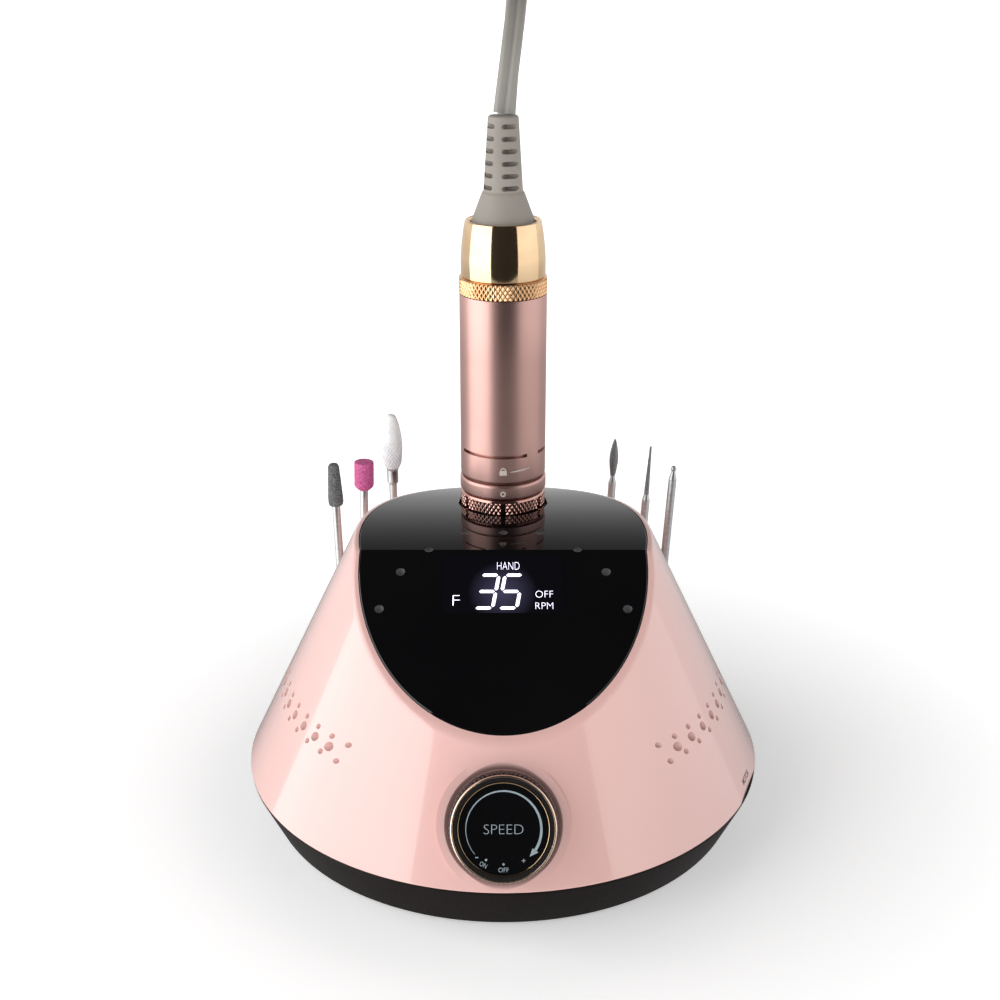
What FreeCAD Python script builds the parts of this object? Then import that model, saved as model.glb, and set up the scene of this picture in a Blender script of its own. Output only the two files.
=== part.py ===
import FreeCAD, Part
import Sketcher
import math
import operator
import os
from types import SimpleNamespace

# Electric nail drill: a cone-shaped desktop control unit, its handpiece standing nose down in a well,
# and six drill bits standing in holes behind the display panel. Millimetres, +Z up, -Y to the front.
# The origin is on the table, below the middle of the cone.

Vector = FreeCAD.Vector
Rotation = FreeCAD.Rotation

# ---------------------------------------------------------------- driving dimensions

DIMENSIONS = {
    # cone-shaped shell: its lower edge, its lean from the vertical, its wall
    "foot_radius": 75.8,
    "foot_height": 15.0,
    "lean": 25.76,
    "wall": 2.4,
    # the shell's top: a slope up from the panel's tip, then an arch
    "tip_y": -59.2,
    "tip_height": 49.3,
    "slope": 35.1,
    "crease_y": -11.3,
    "crown_y": 12.0,
    "crown_radius": 140.0,
    "cut_front": 95.0,
    "cut_back": 62.0,
    "cut_height": 110.0,
    # glossy panel: set in from the shell's edge, a hair proud of the rim round it
    "panel_inset": 1.4,
    "panel_proud": 0.15,
    "panel_thickness": 1.6,
    "dimple_radius": 1.3,
    "dimple_depth": 0.3,
    "dimple_x": (10.8, 20.8, 28.5, 33.9),
    "dimple_y": (-1.9, -11.2, -17.2, -26.8),
    "window_y": -20.0,
    "window_width": 36.0,
    "window_length": 19.0,
    # base pan and what stands on it
    "pan_bottom": 1.0,
    "pan_bottom_radius": 69.3,
    "pan_floor": 3.5,
    "foot_pad_radius": 6.0,
    "foot_pad_place": 58.0,
    "boss_place": 63.0,
    "boss_radius": 4.0,
    "screw_radius": 1.45,
    "board_height": 12.0,
    "board_thickness": 1.6,
    "board_x": 38.0,
    "board_y": (-28.0, 42.0),
    "standoff_x": 34.0,
    "standoff_y": (-24.0, 38.0),
    "ballast_radius": 28.0,
    "ballast_height": 6.0,
    # rows of air holes on both sides
    "vent_radius": 1.65,
    "vent_small_radius": 0.9,
    "vent_step": 6.13,
    "vent_first": (47.3, 41.2, 43.5),
    "vent_height": (39.0, 41.7, 36.8),
    # speed knob on the front
    "knob_height": 30.5,
    "knob_radius": 14.0,
    "knob_recess_radius": 15.3,
    "knob_recess_floor": -2.6,
    "knob_shaft_radius": 3.0,
    # sockets and switches
    "motor_azimuth": 110.0,
    "motor_height": 27.0,
    "flat_azimuth": 83.0,
    "flat_distance": 73.6,
    "flat_height": 24.0,
    "pedal_azimuth": 150.0,
    "inlet_azimuth": 170.0,
    "socket_height": 24.0,
    "socket_bore_radius": 2.9,
    "pedal_bore_radius": 1.78,
    "mode_azimuth": 190.0,
    "direction_azimuth": 206.0,
    "rocker_height": 26.0,
    "rocker_tilt": 7.0,
    # handpiece standing in its well
    "handpiece_y": 22.0,
    "handpiece_radius": 12.5,
    "hole_radius": 13.2,
    "well_rim": 80.8,
    "well_ledge": 77.9,
    "spindle_radius": 3.2,
    "collet_bore_radius": 1.19,
    "shank_radius": 1.175,
    "fit_gap": 0.05,
    # cord and plug
    "cord_width": 5.6,
    "coil_x": -6.0,
    "coil_y": 152.0,
    "coil_radius": 31.0,
    "coil_turns_wide": 3.0,
    "coil_layers": 2.0,
}

# Six bits: where each stands, how it leans to the right in degrees, the height of its head's foot,
# and its length below that.
BITS = {
    "sanding_taper": (-49.0, 12.0, -1.3, 87.2, 36.0),
    "stone_barrel": (-41.7, 23.0, 1.5, 87.8, 36.0),
    "ceramic_flame": (-33.85, 34.0, -0.3, 90.7, 38.0),
    "diamond_flame": (33.7, 34.0, 2.2, 88.2, 36.0),
    "diamond_needle": (43.1, 23.0, 3.0, 86.4, 34.0),
    "ball_tip": (49.55, 12.0, 3.1, 97.9, 44.0),
}
RACK_SHELF = 49.0
RACK_EDGE = [(27, 30), (38, 4), (53, 4), (53, 22), (40, 38), (32, 42)]

# The cord's route from the strain relief, up and over, and down behind the shell to the coil.
CORD_ROUTE = (
    (0.0, 22.0, 198.0),
    (1.8, 22.6, 212.0),
    (4.2, 36.0, 230.0),
    (4.2, 58.0, 233.0),
    (3.0, 75.0, 216.0),
    (0.8, 81.5, 188.0),
    (0.0, 84.5, 152.0),
    (0.0, 87.0, 112.0),
    (1.0, 90.0, 72.0),
    (3.0, 95.0, 38.0),
    (8.0, 101.0, 14.0),
    (19.0, 111.0, 2.9),
    (28.5, 128.0, 2.8),
    (30.8, 146.0, 2.8),
)

# The cord's other end leaves the coil's outer turn and bends into the plug.
TAIL_ROUTE = (
    (-42.6, 152.0, 2.8),
    (-43.4, 138.0, 3.0),
    (-46.6, 125.0, 4.2),
    (-50.4, 113.0, 4.8),
)

# ---------------------------------------------------------------- spreadsheet and formulas

OPERATIONS = {"+": operator.add, "-": operator.sub, "*": operator.mul, "/": operator.truediv}


class Size:
    """A length or an angle, known both as a number and as a formula over the spreadsheet's cells."""

    def __init__(self, value, formula):
        self.value = value
        self.formula = formula

    def __add__(self, other):
        return combine(self, "+", other)

    def __radd__(self, other):
        return combine(other, "+", self)

    def __sub__(self, other):
        return combine(self, "-", other)

    def __rsub__(self, other):
        return combine(other, "-", self)

    def __mul__(self, other):
        return combine(self, "*", other)

    def __rmul__(self, other):
        return combine(other, "*", self)

    def __truediv__(self, other):
        return combine(self, "/", other)

    def __neg__(self):
        return combine(0, "-", self)


def size(quantity):
    return quantity if isinstance(quantity, Size) else Size(float(quantity), repr(float(quantity)))


def combine(left, sign, right):
    left, right = size(left), size(right)
    value = OPERATIONS[sign](left.value, right.value)
    return Size(value, f"({left.formula} {sign} {right.formula})")


def sin(angle):
    angle = size(angle)
    return Size(math.sin(math.radians(angle.value)), f"sin({angle.formula})")


def cos(angle):
    angle = size(angle)
    return Size(math.cos(math.radians(angle.value)), f"cos({angle.formula})")


def tan(angle):
    angle = size(angle)
    return Size(math.tan(math.radians(angle.value)), f"tan({angle.formula})")


def root(square):
    return Size(math.sqrt(square.value), f"sqrt({square.formula})")


document = FreeCAD.newDocument("NailDrill")
sheet = document.addObject("Spreadsheet::Sheet", "Sizes")


def fill_sheet():
    """Writes each driving dimension into a cell of its own and returns them all as sizes."""
    cells = {}
    for name, value in DIMENSIONS.items():
        if isinstance(value, tuple):
            cells.update({f"{name}_{number + 1}": item for number, item in enumerate(value)})
        else:
            cells[name] = value
    known = {}
    for row, (name, value) in enumerate(cells.items(), start=1):
        sheet.set(f"A{row}", name.replace("_", " "))
        sheet.set(f"B{row}", repr(value))
        sheet.setAlias(f"B{row}", name)
        known[name] = Size(value, "Sizes." + name)
    document.recompute()
    for name, value in DIMENSIONS.items():
        if isinstance(value, tuple):
            known[name] = [known[f"{name}_{number + 1}"] for number in range(len(value))]
    return SimpleNamespace(**known)


d = fill_sheet()

# ---------------------------------------------------------------- building blocks


def bind(item, **sizes_of):
    """Binds properties of an item to formulas over the sheet."""
    for name, quantity in sizes_of.items():
        item.setExpression(name, size(quantity).formula)
    return item


def move(item, x=0, y=0, z=0, rotation=Rotation()):
    """Stands an item at a point, turned; the point stays bound to the sheet."""
    item.Placement = FreeCAD.Placement(Vector(0, 0, 0), rotation)
    for axis, distance in zip("xyz", (x, y, z)):
        item.setExpression("Placement.Base." + axis, size(distance).formula)
    return item


def attach(body, name, role, offset=0):
    """An empty sketch on one of the body's own origin planes, moved along its normal by offset."""
    sketch = body.newObject("Sketcher::SketchObject", name)
    plane = next(item for item in body.Origin.OriginFeatures if item.Role == role)
    sketch.AttachmentSupport = [(plane, "")]
    sketch.MapMode = "FlatFace"
    sketch.setExpression("AttachmentOffset.Base.z", size(offset).formula)
    return sketch


def pin_point(sketch, edge, end, across, up):
    """Ties one end of an edge to a distance across and up from the sketch's origin."""
    for kind, quantity in (("DistanceX", size(across)), ("DistanceY", size(up))):
        number = sketch.addConstraint(Sketcher.Constraint(kind, -1, 1, edge, end, quantity.value))
        sketch.setExpression(f"Constraints[{number}]", quantity.formula)


def outline(sketch, points):
    """A closed outline of straight edges, each corner bound to the sheet."""
    corners = [(size(across), size(up)) for across, up in points]
    places = [Vector(across.value, up.value, 0) for across, up in corners]
    count = len(corners)
    sketch.addGeometry([Part.LineSegment(places[i], places[(i + 1) % count]) for i in range(count)])
    sketch.addConstraint(
        [Sketcher.Constraint("Coincident", i, 2, (i + 1) % count, 1) for i in range(count)]
    )
    for edge, (across, up) in enumerate(corners):
        pin_point(sketch, edge, 1, across, up)
    return sketch


def lathe(name, points):
    """A body turned about its own Z axis from an outline of (radius, height) points."""
    body = document.addObject("PartDesign::Body", name)
    profile = outline(attach(body, name + "_profile", "XZ_Plane"), points)
    turned = body.newObject("PartDesign::Revolution", name + "_turned")
    turned.Profile = profile
    turned.ReferenceAxis = (profile, ["V_Axis"])
    turned.Angle = 360
    return body


def rod(name, radius, low, high):
    return lathe(name, [(0, low), (radius, low), (radius, high), (0, high)])


def ring(name, inner, outer, low, high):
    return lathe(name, [(inner, low), (outer, low), (outer, high), (inner, high)])


def prism(name, points, low, high):
    """A body padded upwards from an outline of (x, y) points."""
    body = document.addObject("PartDesign::Body", name)
    profile = outline(attach(body, name + "_profile", "XY_Plane", low), points)
    pad = body.newObject("PartDesign::Pad", name + "_pad")
    pad.Profile = profile
    bind(pad, Length=size(high) - low)
    return body


def block(name, width, length, low, high, x=0, y=0):
    """A box centred on (x, y) in its own frame."""
    left, front = size(x) - size(width) / 2, size(y) - size(length) / 2
    right, back = size(x) + size(width) / 2, size(y) + size(length) / 2
    return prism(name, [(left, front), (right, front), (right, back), (left, back)], low, high)


def hexagon(name, across_corners, low, high):
    reach = size(across_corners) / 2
    corners = [(reach * cos(60 * i), reach * sin(60 * i)) for i in range(6)]
    return prism(name, corners, low, high)


def fuse(name, items):
    result = document.addObject("Part::MultiFuse", name)
    result.Shapes = items
    return result


def cut(name, base, tools):
    result = document.addObject("Part::Cut", name)
    result.Base = base
    result.Tool = tools[0] if len(tools) == 1 else fuse(name + "_cutters", tools)
    return result


def common(name, base, tool):
    result = document.addObject("Part::Common", name)
    result.Base = base
    result.Tool = tool
    return result


def group(name, items):
    """Separate solids that share one node."""
    result = document.addObject("Part::Compound", name)
    result.Links = items
    return result


# ---------------------------------------------------------------- places on the shell


def radius_at(height):
    """The shell's outer radius at a height."""
    return d.foot_radius - (size(height) - d.foot_height) * tan(d.lean)


def slope_height(y):
    """The height of the panel's front slope at a distance y."""
    return d.tip_height + (size(y) - d.tip_y) * tan(d.slope)


def crown_centre():
    """The height of the middle of the arch's circle, which meets the slope at the crease."""
    back = d.crease_y - d.crown_y
    return slope_height(d.crease_y) - root(d.crown_radius * d.crown_radius - back * back)


def top_height(y):
    """The height of the panel's surface at a distance y."""
    y = size(y)
    if y.value < d.crease_y.value:
        return slope_height(y)
    back = y - d.crown_y
    return crown_centre() + root(d.crown_radius * d.crown_radius - back * back)


def on_shell(item, azimuth, height):
    """Stands an item on the shell's side: its Z along the outward normal, its Y up the slope."""
    azimuth = size(azimuth)
    radius = radius_at(height)
    turn = Rotation(Vector(0, 0, 1), azimuth.value) * Rotation(Vector(1, 0, 0), 90 - d.lean.value)
    return move(item, radius * sin(azimuth), -(radius * cos(azimuth)), height, turn)


def on_handpiece(item):
    return move(item, 0, d.handpiece_y, 0)


def on_slope(item):
    """Stands an item on the panel's slope at the display window: its Z along the outward normal."""
    turn = Rotation(Vector(1, 0, 0), d.slope.value)
    return move(item, 0, d.window_y, slope_height(d.window_y), turn)


def lean_bit(item, bit):
    """Stands an item along a bit's axis, with its zero at the height of the head's foot."""
    x, y, lean, height, _ = BITS[bit]
    return move(item, x, y, height, Rotation(Vector(0, 1, 0), lean))


# ---------------------------------------------------------------- shell, panel and base


def dome(name, inset, drop, floor):
    """A solid cone, its side set in by inset, cut off by the sloping, arched top lowered by drop."""
    body = document.addObject("PartDesign::Body", name)
    low, high = size(floor), d.cut_height
    cone = [(0, low), (radius_at(low) - inset, low), (radius_at(high) - inset, high), (0, high)]
    side = outline(attach(body, name + "_side", "XZ_Plane"), cone)
    turned = body.newObject("PartDesign::Revolution", name + "_turned")
    turned.Profile = side
    turned.ReferenceAxis = (side, ["V_Axis"])
    turned.Angle = 360
    top = attach(body, name + "_top", "YZ_Plane")
    arched_outline(top, size(drop))
    pocket = body.newObject("PartDesign::Pocket", name + "_cut_off")
    pocket.Profile = top
    pocket.SideType = "Symmetric"
    pocket.Type = "Length"
    bind(pocket, Length=4 * d.foot_radius)
    return body


def arched_outline(sketch, drop):
    """Everything above the top's line: the slope, the arch tied to it at the crease, and a square lid."""
    lid = d.cut_height + 10
    front = (-d.cut_front, slope_height(-d.cut_front) - drop)
    crease = (d.crease_y, slope_height(d.crease_y) - drop)
    back = (d.cut_back, top_height(d.cut_back) - drop)
    corners = [front, crease, back, (d.cut_back, lid), (-d.cut_front, lid)]
    places = [Vector(across.value, up.value, 0) for across, up in corners]
    centre = Vector(d.crown_y.value, crown_centre().value - drop.value, 0)
    angles = [math.atan2(place.y - centre.y, place.x - centre.x) for place in (places[2], places[1])]
    circle = Part.Circle(centre, Vector(0, 0, 1), d.crown_radius.value)
    sketch.addGeometry(
        [
            Part.LineSegment(places[0], places[1]),
            Part.ArcOfCircle(circle, *angles),
            Part.LineSegment(places[2], places[3]),
            Part.LineSegment(places[3], places[4]),
            Part.LineSegment(places[4], places[0]),
        ]
    )
    joins = ((0, 2, 1, 2), (1, 1, 2, 1), (2, 2, 3, 1), (3, 2, 4, 1), (4, 2, 0, 1))
    sketch.addConstraint([Sketcher.Constraint("Coincident", *join) for join in joins])
    for edge, corner in ((0, front), (2, back), (3, corners[3]), (4, corners[4])):
        pin_point(sketch, edge, 1, *corner)
    pin_point(sketch, 0, 2, *crease)
    number = sketch.addConstraint(Sketcher.Constraint("Radius", 1, d.crown_radius.value))
    sketch.setExpression(f"Constraints[{number}]", d.crown_radius.formula)


def vent_row(name, radius, first, height, count, side):
    """Cutters for a row of air holes on one side (-1 left, 1 right), evenly spaced round the cone."""
    body = document.addObject("PartDesign::Body", name)
    start = 0.5 * d.foot_radius
    profile = attach(body, name + "_profile", "XZ_Plane", start)
    profile.addGeometry(Part.Circle(Vector(0, height.value, 0), Vector(0, 0, 1), radius.value))
    profile.addConstraint(Sketcher.Constraint("PointOnObject", 0, 3, -2))
    for constraint, quantity in ((("DistanceY", -1, 1, 0, 3), height), (("Radius", 0), radius)):
        number = profile.addConstraint(Sketcher.Constraint(*constraint, quantity.value))
        profile.setExpression(f"Constraints[{number}]", quantity.formula)
    pad = body.newObject("PartDesign::Pad", name + "_pad")
    pad.Profile = profile
    bind(pad, Length=d.foot_radius)
    document.recompute()
    row = body.newObject("PartDesign::PolarPattern", name + "_row")
    row.Originals = [pad]
    row.Axis = (profile, ["V_Axis"])
    row.Occurrences = count
    bind(row, Angle=d.vent_step * (count - 1))
    body.Tip = row
    turned = first.value if side > 0 else -first.value - d.vent_step.value * (count - 1)
    body.Placement = FreeCAD.Placement(Vector(), Rotation(Vector(0, 0, 1), turned))
    return body


def vents():
    rows = []
    for side, word in ((-1, "left"), (1, "right")):
        radii = (d.vent_radius, d.vent_small_radius, d.vent_small_radius)
        for number, (radius, count) in enumerate(zip(radii, (8, 9, 8))):
            name = f"vents_{word}_{number + 1}"
            rows.append(vent_row(name, radius, d.vent_first[number], d.vent_height[number], count, side))
    return rows


def corner_places(distance):
    """The four places round the Z axis at half quarter turns."""
    return [(distance * cos(45 + 90 * i), distance * sin(45 + 90 * i)) for i in range(4)]


def upper_shell():
    outer = dome("shell_outer", 0, d.panel_proud, d.foot_height)
    inner = dome("shell_inner", d.wall / cos(d.lean), 4.2, d.foot_height - 1)
    hollow = cut("shell_hollow", outer, [inner])
    boss = on_shell(rod("knob_boss", d.knob_recess_radius + 2, -5.6, -0.5), 0, d.knob_height)
    posts = [
        move(rod(f"screw_post_{i + 1}", d.boss_radius, 0, 40), x, y, d.foot_height)
        for i, (x, y) in enumerate(corner_places(d.boss_place))
    ]
    inside = common("shell_posts", fuse("shell_posts_blank", [boss, *posts]), dome_blank())
    whole = fuse("shell_with_posts", [hollow, inside])
    openings = [
        panel_recess(),
        on_shell(rod("knob_recess", d.knob_recess_radius, d.knob_recess_floor, 12), 0, d.knob_height),
        on_shell(rod("pot_hole", 3.6, -9, 2), 0, d.knob_height),
        on_handpiece(rod("well_hole", d.hole_radius + 1.25, 60, 100)),
        on_slope(block("window_hole", d.window_width, d.window_length, -9, 4)),
        on_shell(rod("motor_hole", 4.1, -12, 6), d.motor_azimuth, d.motor_height),
        on_shell(rod("pedal_hole", 4.1, -12, 6), d.pedal_azimuth, d.socket_height),
        on_shell(rod("inlet_hole", 4.1, -12, 6), d.inlet_azimuth, d.socket_height),
        on_shell(block("mode_hole", 13.2, 19.2, -14, 6), d.mode_azimuth, d.rocker_height),
        on_shell(block("direction_hole", 13.2, 19.2, -14, 6), d.direction_azimuth, d.rocker_height),
        socket_flat(),
        *[lean_bit(rod(f"{bit}_hole", 1.6, -40, 2), bit) for bit in BITS],
        *[
            move(rod(f"post_hole_{i + 1}", d.screw_radius + 0.05, -1, 12), x, y, d.foot_height)
            for i, (x, y) in enumerate(corner_places(d.boss_place))
        ],
        *vents(),
    ]
    return cut("upper_shell", whole, openings)


def socket_flat():
    """A narrow upright flat on the shell's right edge, below the motor socket."""
    reach = 20
    flat = block("socket_flat", 80, reach, 10, d.flat_height, 0, -(d.flat_distance + reach / 2))
    return move(flat, 0, 0, 0, Rotation(Vector(0, 0, 1), d.flat_azimuth.value))


def dome_blank():
    return dome("posts_blank", 0.4, 1.5, d.foot_height)


def panel_recess():
    """The space for the panel: everything above its underside, a hair wider than the panel."""
    wide = dome("recess_side", d.panel_inset - d.fit_gap, -6, 30)
    return cut("panel_recess", wide, [dome("recess_floor", -4, d.panel_thickness, 25)])


def dimple_places():
    """Nine shallow touch dimples in an arc: one in the middle and four on each side."""
    places = [(size(0), d.dimple_y[0])]
    for side in (-1, 1):
        places += [(side * x, y) for x, y in zip(d.dimple_x, d.dimple_y)]
    return places


def display_panel():
    blank = dome("panel_blank", d.panel_inset, 0, 30)
    under = dome("panel_under", -4, d.panel_thickness, 25)
    dimples = [
        move(rod(f"dimple_{i + 1}", d.dimple_radius, 0, 5), x, y, top_height(y) - d.dimple_depth)
        for i, (x, y) in enumerate(dimple_places())
    ]
    hole = on_handpiece(rod("panel_hole", d.hole_radius, 60, 100))
    return cut("display_panel", blank, [under, hole, *dimples])


def display_module():
    """The lit digits' block and its small board, just under the panel's window."""
    light = block("display_digits", 33, 17, -8, -1.75)
    board = block("display_board", 44, 24, -9.6, -8.01)
    return on_slope(group("display_module", [light, board]))


def base_pan():
    shell_line = radius_at(d.foot_height) - 0.3
    dish = lathe(
        "pan_dish",
        [
            (0, d.pan_bottom),
            (d.pan_bottom_radius, d.pan_bottom),
            (shell_line, d.foot_height),
            (shell_line - d.wall, d.foot_height),
            (d.pan_bottom_radius - d.wall, d.pan_floor),
            (0, d.pan_floor),
        ],
    )
    corners = corner_places(d.boss_place)
    posts = [
        *rods_at("pan_post", corners, d.boss_radius, 2, d.foot_height),
        *rods_at("standoff", standoff_places(), 3.2, 2, d.board_height),
    ]
    holes = [
        *rods_at("pan_hole", corners, d.screw_radius + 0.05, -1, 20),
        *rods_at("pan_sink", corners, 2.9, -1, 4.0),
        *rods_at("standoff_hole", standoff_places(), 1.05, 5.0, 20),
        *rods_at("pad_seat", pad_places(), d.foot_pad_radius + 0.05, 0, 1.8),
    ]
    return cut("base_pan", fuse("pan_with_posts", [dish, *posts]), holes)


def rods_at(name, places, radius, low, high):
    """One upright rod at each place."""
    return [move(rod(f"{name}_{i + 1}", radius, low, high), x, y) for i, (x, y) in enumerate(places)]


def pad_places():
    """The rubber pads: one in the middle, and four between the screws, a quarter turn apart."""
    reach = d.foot_pad_place
    return [(size(0), size(0)), *[(reach * cos(90 * i), reach * sin(90 * i)) for i in range(4)]]


def standoff_places():
    return [(side * d.standoff_x, y) for y in d.standoff_y for side in (-1, 1)]


def rubber_feet():
    radius = d.foot_pad_radius
    section = [(0, 0), (radius - 0.5, 0), (radius, 0.5), (radius, 1.8), (0, 1.8)]
    pads = [move(lathe(f"pad_{i + 1}", section), x, y) for i, (x, y) in enumerate(pad_places())]
    return group("rubber_feet", pads)


def screw(name, shank, head, length, seat):
    """A pan-head screw pointing up, its head's seat at the height given."""
    seat = size(seat)
    return lathe(
        name,
        [(0, seat - 1.8), (head * 0.8, seat - 1.8), (head, seat - 1.0), (head, seat),
         (shank, seat), (shank, seat + length - 1), (0, seat + length)],
    )


def base_screws():
    screws = [
        move(screw(f"base_screw_{i + 1}", d.screw_radius, 2.7, 20, 4.0), x, y)
        for i, (x, y) in enumerate(corner_places(d.boss_place))
    ]
    return group("base_screws", screws)


def board_screws():
    """Screws from above through the control board into the standoffs."""
    seat = d.board_height + d.board_thickness
    screws = []
    for i, (x, y) in enumerate(standoff_places()):
        item = screw(f"board_screw_{i + 1}", 1.0, 2.2, 6, 0)
        screws.append(move(item, x, y, seat, Rotation(Vector(1, 0, 0), 180)))
    return group("board_screws", screws)


def control_board():
    front, back = d.board_y
    corners = [(-d.board_x, front), (d.board_x, front), (d.board_x, back), (-d.board_x, back)]
    low = d.board_height
    plate = prism("board_plate", corners, low, low + d.board_thickness)
    return cut("control_board", plate, rods_at("board_hole", standoff_places(), 1.1, 10, 16))


def board_parts():
    """What is soldered on the control board: capacitors, a relay, a driver chip and plug headers."""
    top = d.board_height + d.board_thickness
    cans = [move(rod(f"capacitor_{i + 1}", 5, 0, 16), -26 + 12 * i, 32, top) for i in range(2)]
    small = [move(rod(f"small_capacitor_{i + 1}", 2.5, 0, 8), -30 + 8 * i, 16, top) for i in range(3)]
    relay = move(block("relay", 15, 11, 0, 11), 22, -14, top)
    chip = move(block("driver_chip", 9, 7, 0, 1.8), -8, -6, top)
    headers = [move(block(f"header_{i + 1}", 10, 5, 0, 7), -26 + 17 * i, -22, top) for i in range(3)]
    return group("board_parts", [*cans, *small, relay, chip, *headers])


def heat_sink():
    plate = block("sink_plate", 30, 3, 0, 18)
    fins = [block(f"sink_fin_{i + 1}", 1.6, 9, 0, 18, -13 + 6.5 * i, 5) for i in range(5)]
    return move(fuse("heat_sink", [plate, *fins]), 18, 18, d.board_height + d.board_thickness)


def ballast_plate():
    return move(rod("ballast_plate", d.ballast_radius, d.pan_floor, d.pan_floor + d.ballast_height), 0, 6)


# ---------------------------------------------------------------- well and bit racks


def handpiece_well():
    """A cup that the handpiece stands in: a ledge under its front ring, and a taper round its nose."""
    hole = d.hole_radius
    return on_handpiece(
        lathe(
            "handpiece_well",
            [
                (0, 36.8), (7.6, 36.8), (10.8, 44.5), (11.9, 59.0), (14.0, 71.0), (hole + 1.2, 73.0),
                (hole + 1.2, d.well_rim), (hole, d.well_rim), (hole, d.well_ledge), (12.3, d.well_ledge),
                (12.3, 76.0), (10.3, 59.5), (9.1, 45.5), (6.0, 39.0), (0, 39.0),
            ],
        )
    )


def bit_racks():
    """One rack each side, moulded to the inside of the shell: three tubes on a curved shelf."""
    racks = []
    for side, word, bits in ((-1, "left", list(BITS)[:3]), (1, "right", list(BITS)[3:])):
        tubes, bores = [], []
        for bit in bits:
            _, _, _, height, length = BITS[bit]
            tubes.append(lean_bit(rod(f"{bit}_tube", 3.2, RACK_SHELF - height, -14), bit))
            bores.append(lean_bit(rod(f"{bit}_bore", d.shank_radius + 0.05, -length - 0.1, 0), bit))
        edge = [(side * x, y) for x, y in RACK_EDGE]
        shelf = prism(f"rack_shelf_{word}", edge, RACK_SHELF - 1, RACK_SHELF + 2)
        blank = cut(f"rack_blank_{word}", fuse(f"rack_joined_{word}", [*tubes, shelf]), bores)
        inside = dome(f"rack_limit_{word}", d.wall / cos(d.lean) + 0.1, 4.4, 20)
        racks.append(common(f"rack_{word}", blank, inside))
    return group("bit_racks", racks)


def rocker_switch(name, azimuth):
    """A rocker switch's case: a flange on the shell, a body through it and an open mouth for the rocker."""
    flange = block(name + "_flange", 15.4, 21.4, 0, 1.2)
    body = block(name + "_body", 13, 19, -13, 0)
    mouth = block(name + "_mouth", 10.8, 15.6, -5.5, 3)
    case = cut(name, fuse(name + "_case", [flange, body]), [mouth])
    return on_shell(case, azimuth, d.rocker_height)


def rocker(name, azimuth):
    """A rocker lying with one end pressed in; it turns about the case's short way."""
    lever = block(name + "_lever", 10.2, 14.6, -2.2, 2.2)
    lever.Placement = FreeCAD.Placement(Vector(0, 0, 0.4), Rotation(Vector(1, 0, 0), d.rocker_tilt.value))
    return on_shell(fuse(name, [lever, pivot(name)]), azimuth, d.rocker_height)


def pivot(name):
    """The round boss in the middle of a rocker, on its turning axis."""
    boss = rod(name + "_boss", 2.4, -5.1, 5.1)
    boss.Placement = FreeCAD.Placement(Vector(0, 0, 0.4), Rotation(Vector(0, 1, 0), 90))
    return boss


# ---------------------------------------------------------------- sockets


def socket(name, azimuth, bore, depth, pin, height):
    """A round panel socket: flange on the shell, threaded barrel through it, bore and centre pin."""
    parts = lathe(
        name + "_barrel",
        [(bore, -depth), (bore, 1.6), (5.4, 1.6), (5.8, 1.2), (5.8, 0.0), (4.0, 0.0), (4.0, -14.0),
         (0, -14.0), (0, -depth)],
    )
    if pin:
        parts = fuse(name, [parts, rod(name + "_pin", pin, -depth - 1, -0.8)])
    else:
        parts.Label = name
    return on_shell(parts, azimuth, height)


def socket_nuts():
    """The hexagon nuts that clamp the three sockets and the speed control from inside the shell."""
    nuts = []
    for name, azimuth, height, seat, bore, across in (
        ("motor_nut", d.motor_azimuth, d.motor_height, -3.0, 4.05, 12.6),
        ("pedal_nut", d.pedal_azimuth, d.socket_height, -3.0, 4.05, 12.6),
        ("inlet_nut", d.inlet_azimuth, d.socket_height, -3.0, 4.05, 12.6),
    ):
        blank = hexagon(name + "_blank", across, seat - 2.4, seat)
        nuts.append(on_shell(cut(name, blank, [rod(name + "_bore", bore, -8, 2)]), azimuth, height))
    return group("socket_nuts", nuts)


# ---------------------------------------------------------------- speed control


def speed_pot():
    """The rotary speed control behind the shell; its shaft belongs to the knob."""
    can = ring("pot_can", 1.6, 8.2, -13.6, -5.65)
    bush = ring("pot_bush", d.knob_shaft_radius + 0.05, 3.5, -5.65, -1.95)
    hollow = rod("pot_hollow", 3.05, -12.6, -5.0)
    return on_shell(cut("speed_pot", fuse("pot_blank", [can, bush]), [hollow]), 0, d.knob_height)


def pot_shaft():
    shaft = lathe(
        "pot_shaft",
        [(0, -12.4), (d.knob_shaft_radius, -12.4), (d.knob_shaft_radius, 3.2), (0, 3.2)],
    )
    return on_shell(shaft, 0, d.knob_height)


def knob_body():
    """The knob's dark core: fluted side, a seat for the bright ring and a shallow dish for the disc."""
    side, bore = d.knob_radius, d.knob_shaft_radius + 0.02
    core = lathe(
        "knob_core",
        [
            (0, 3.25), (0, 5.6), (11.8, 5.6), (11.8, 6.5), (12.9, 6.7), (12.9, 4.7), (side, 4.7),
            (side, -1.5), (side - 0.4, -1.9), (10.0, -1.9), (10.0, 0.6), (5.4, 0.6), (5.4, -0.8),
            (bore, -0.8), (bore, 3.25),
        ],
    )
    return on_shell(relabel(core, "knob_body"), 0, d.knob_height)


def relabel(item, label):
    item.Label = label
    return item


def knob_ring():
    section = [(12.95, 4.75), (13.55, 4.75), (13.55, 6.6), (13.3, 7.0), (12.95, 7.0)]
    return on_shell(lathe("knob_ring", section), 0, d.knob_height)


def knob_inner_ring():
    section = [(11.35, 5.65), (11.75, 5.65), (11.75, 6.7), (11.35, 6.6)]
    return on_shell(lathe("knob_inner_ring", section), 0, d.knob_height)


def knob_disc():
    return on_shell(rod("knob_disc", 11.3, 5.65, 6.4), 0, d.knob_height)


# ---------------------------------------------------------------- handpiece


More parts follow.
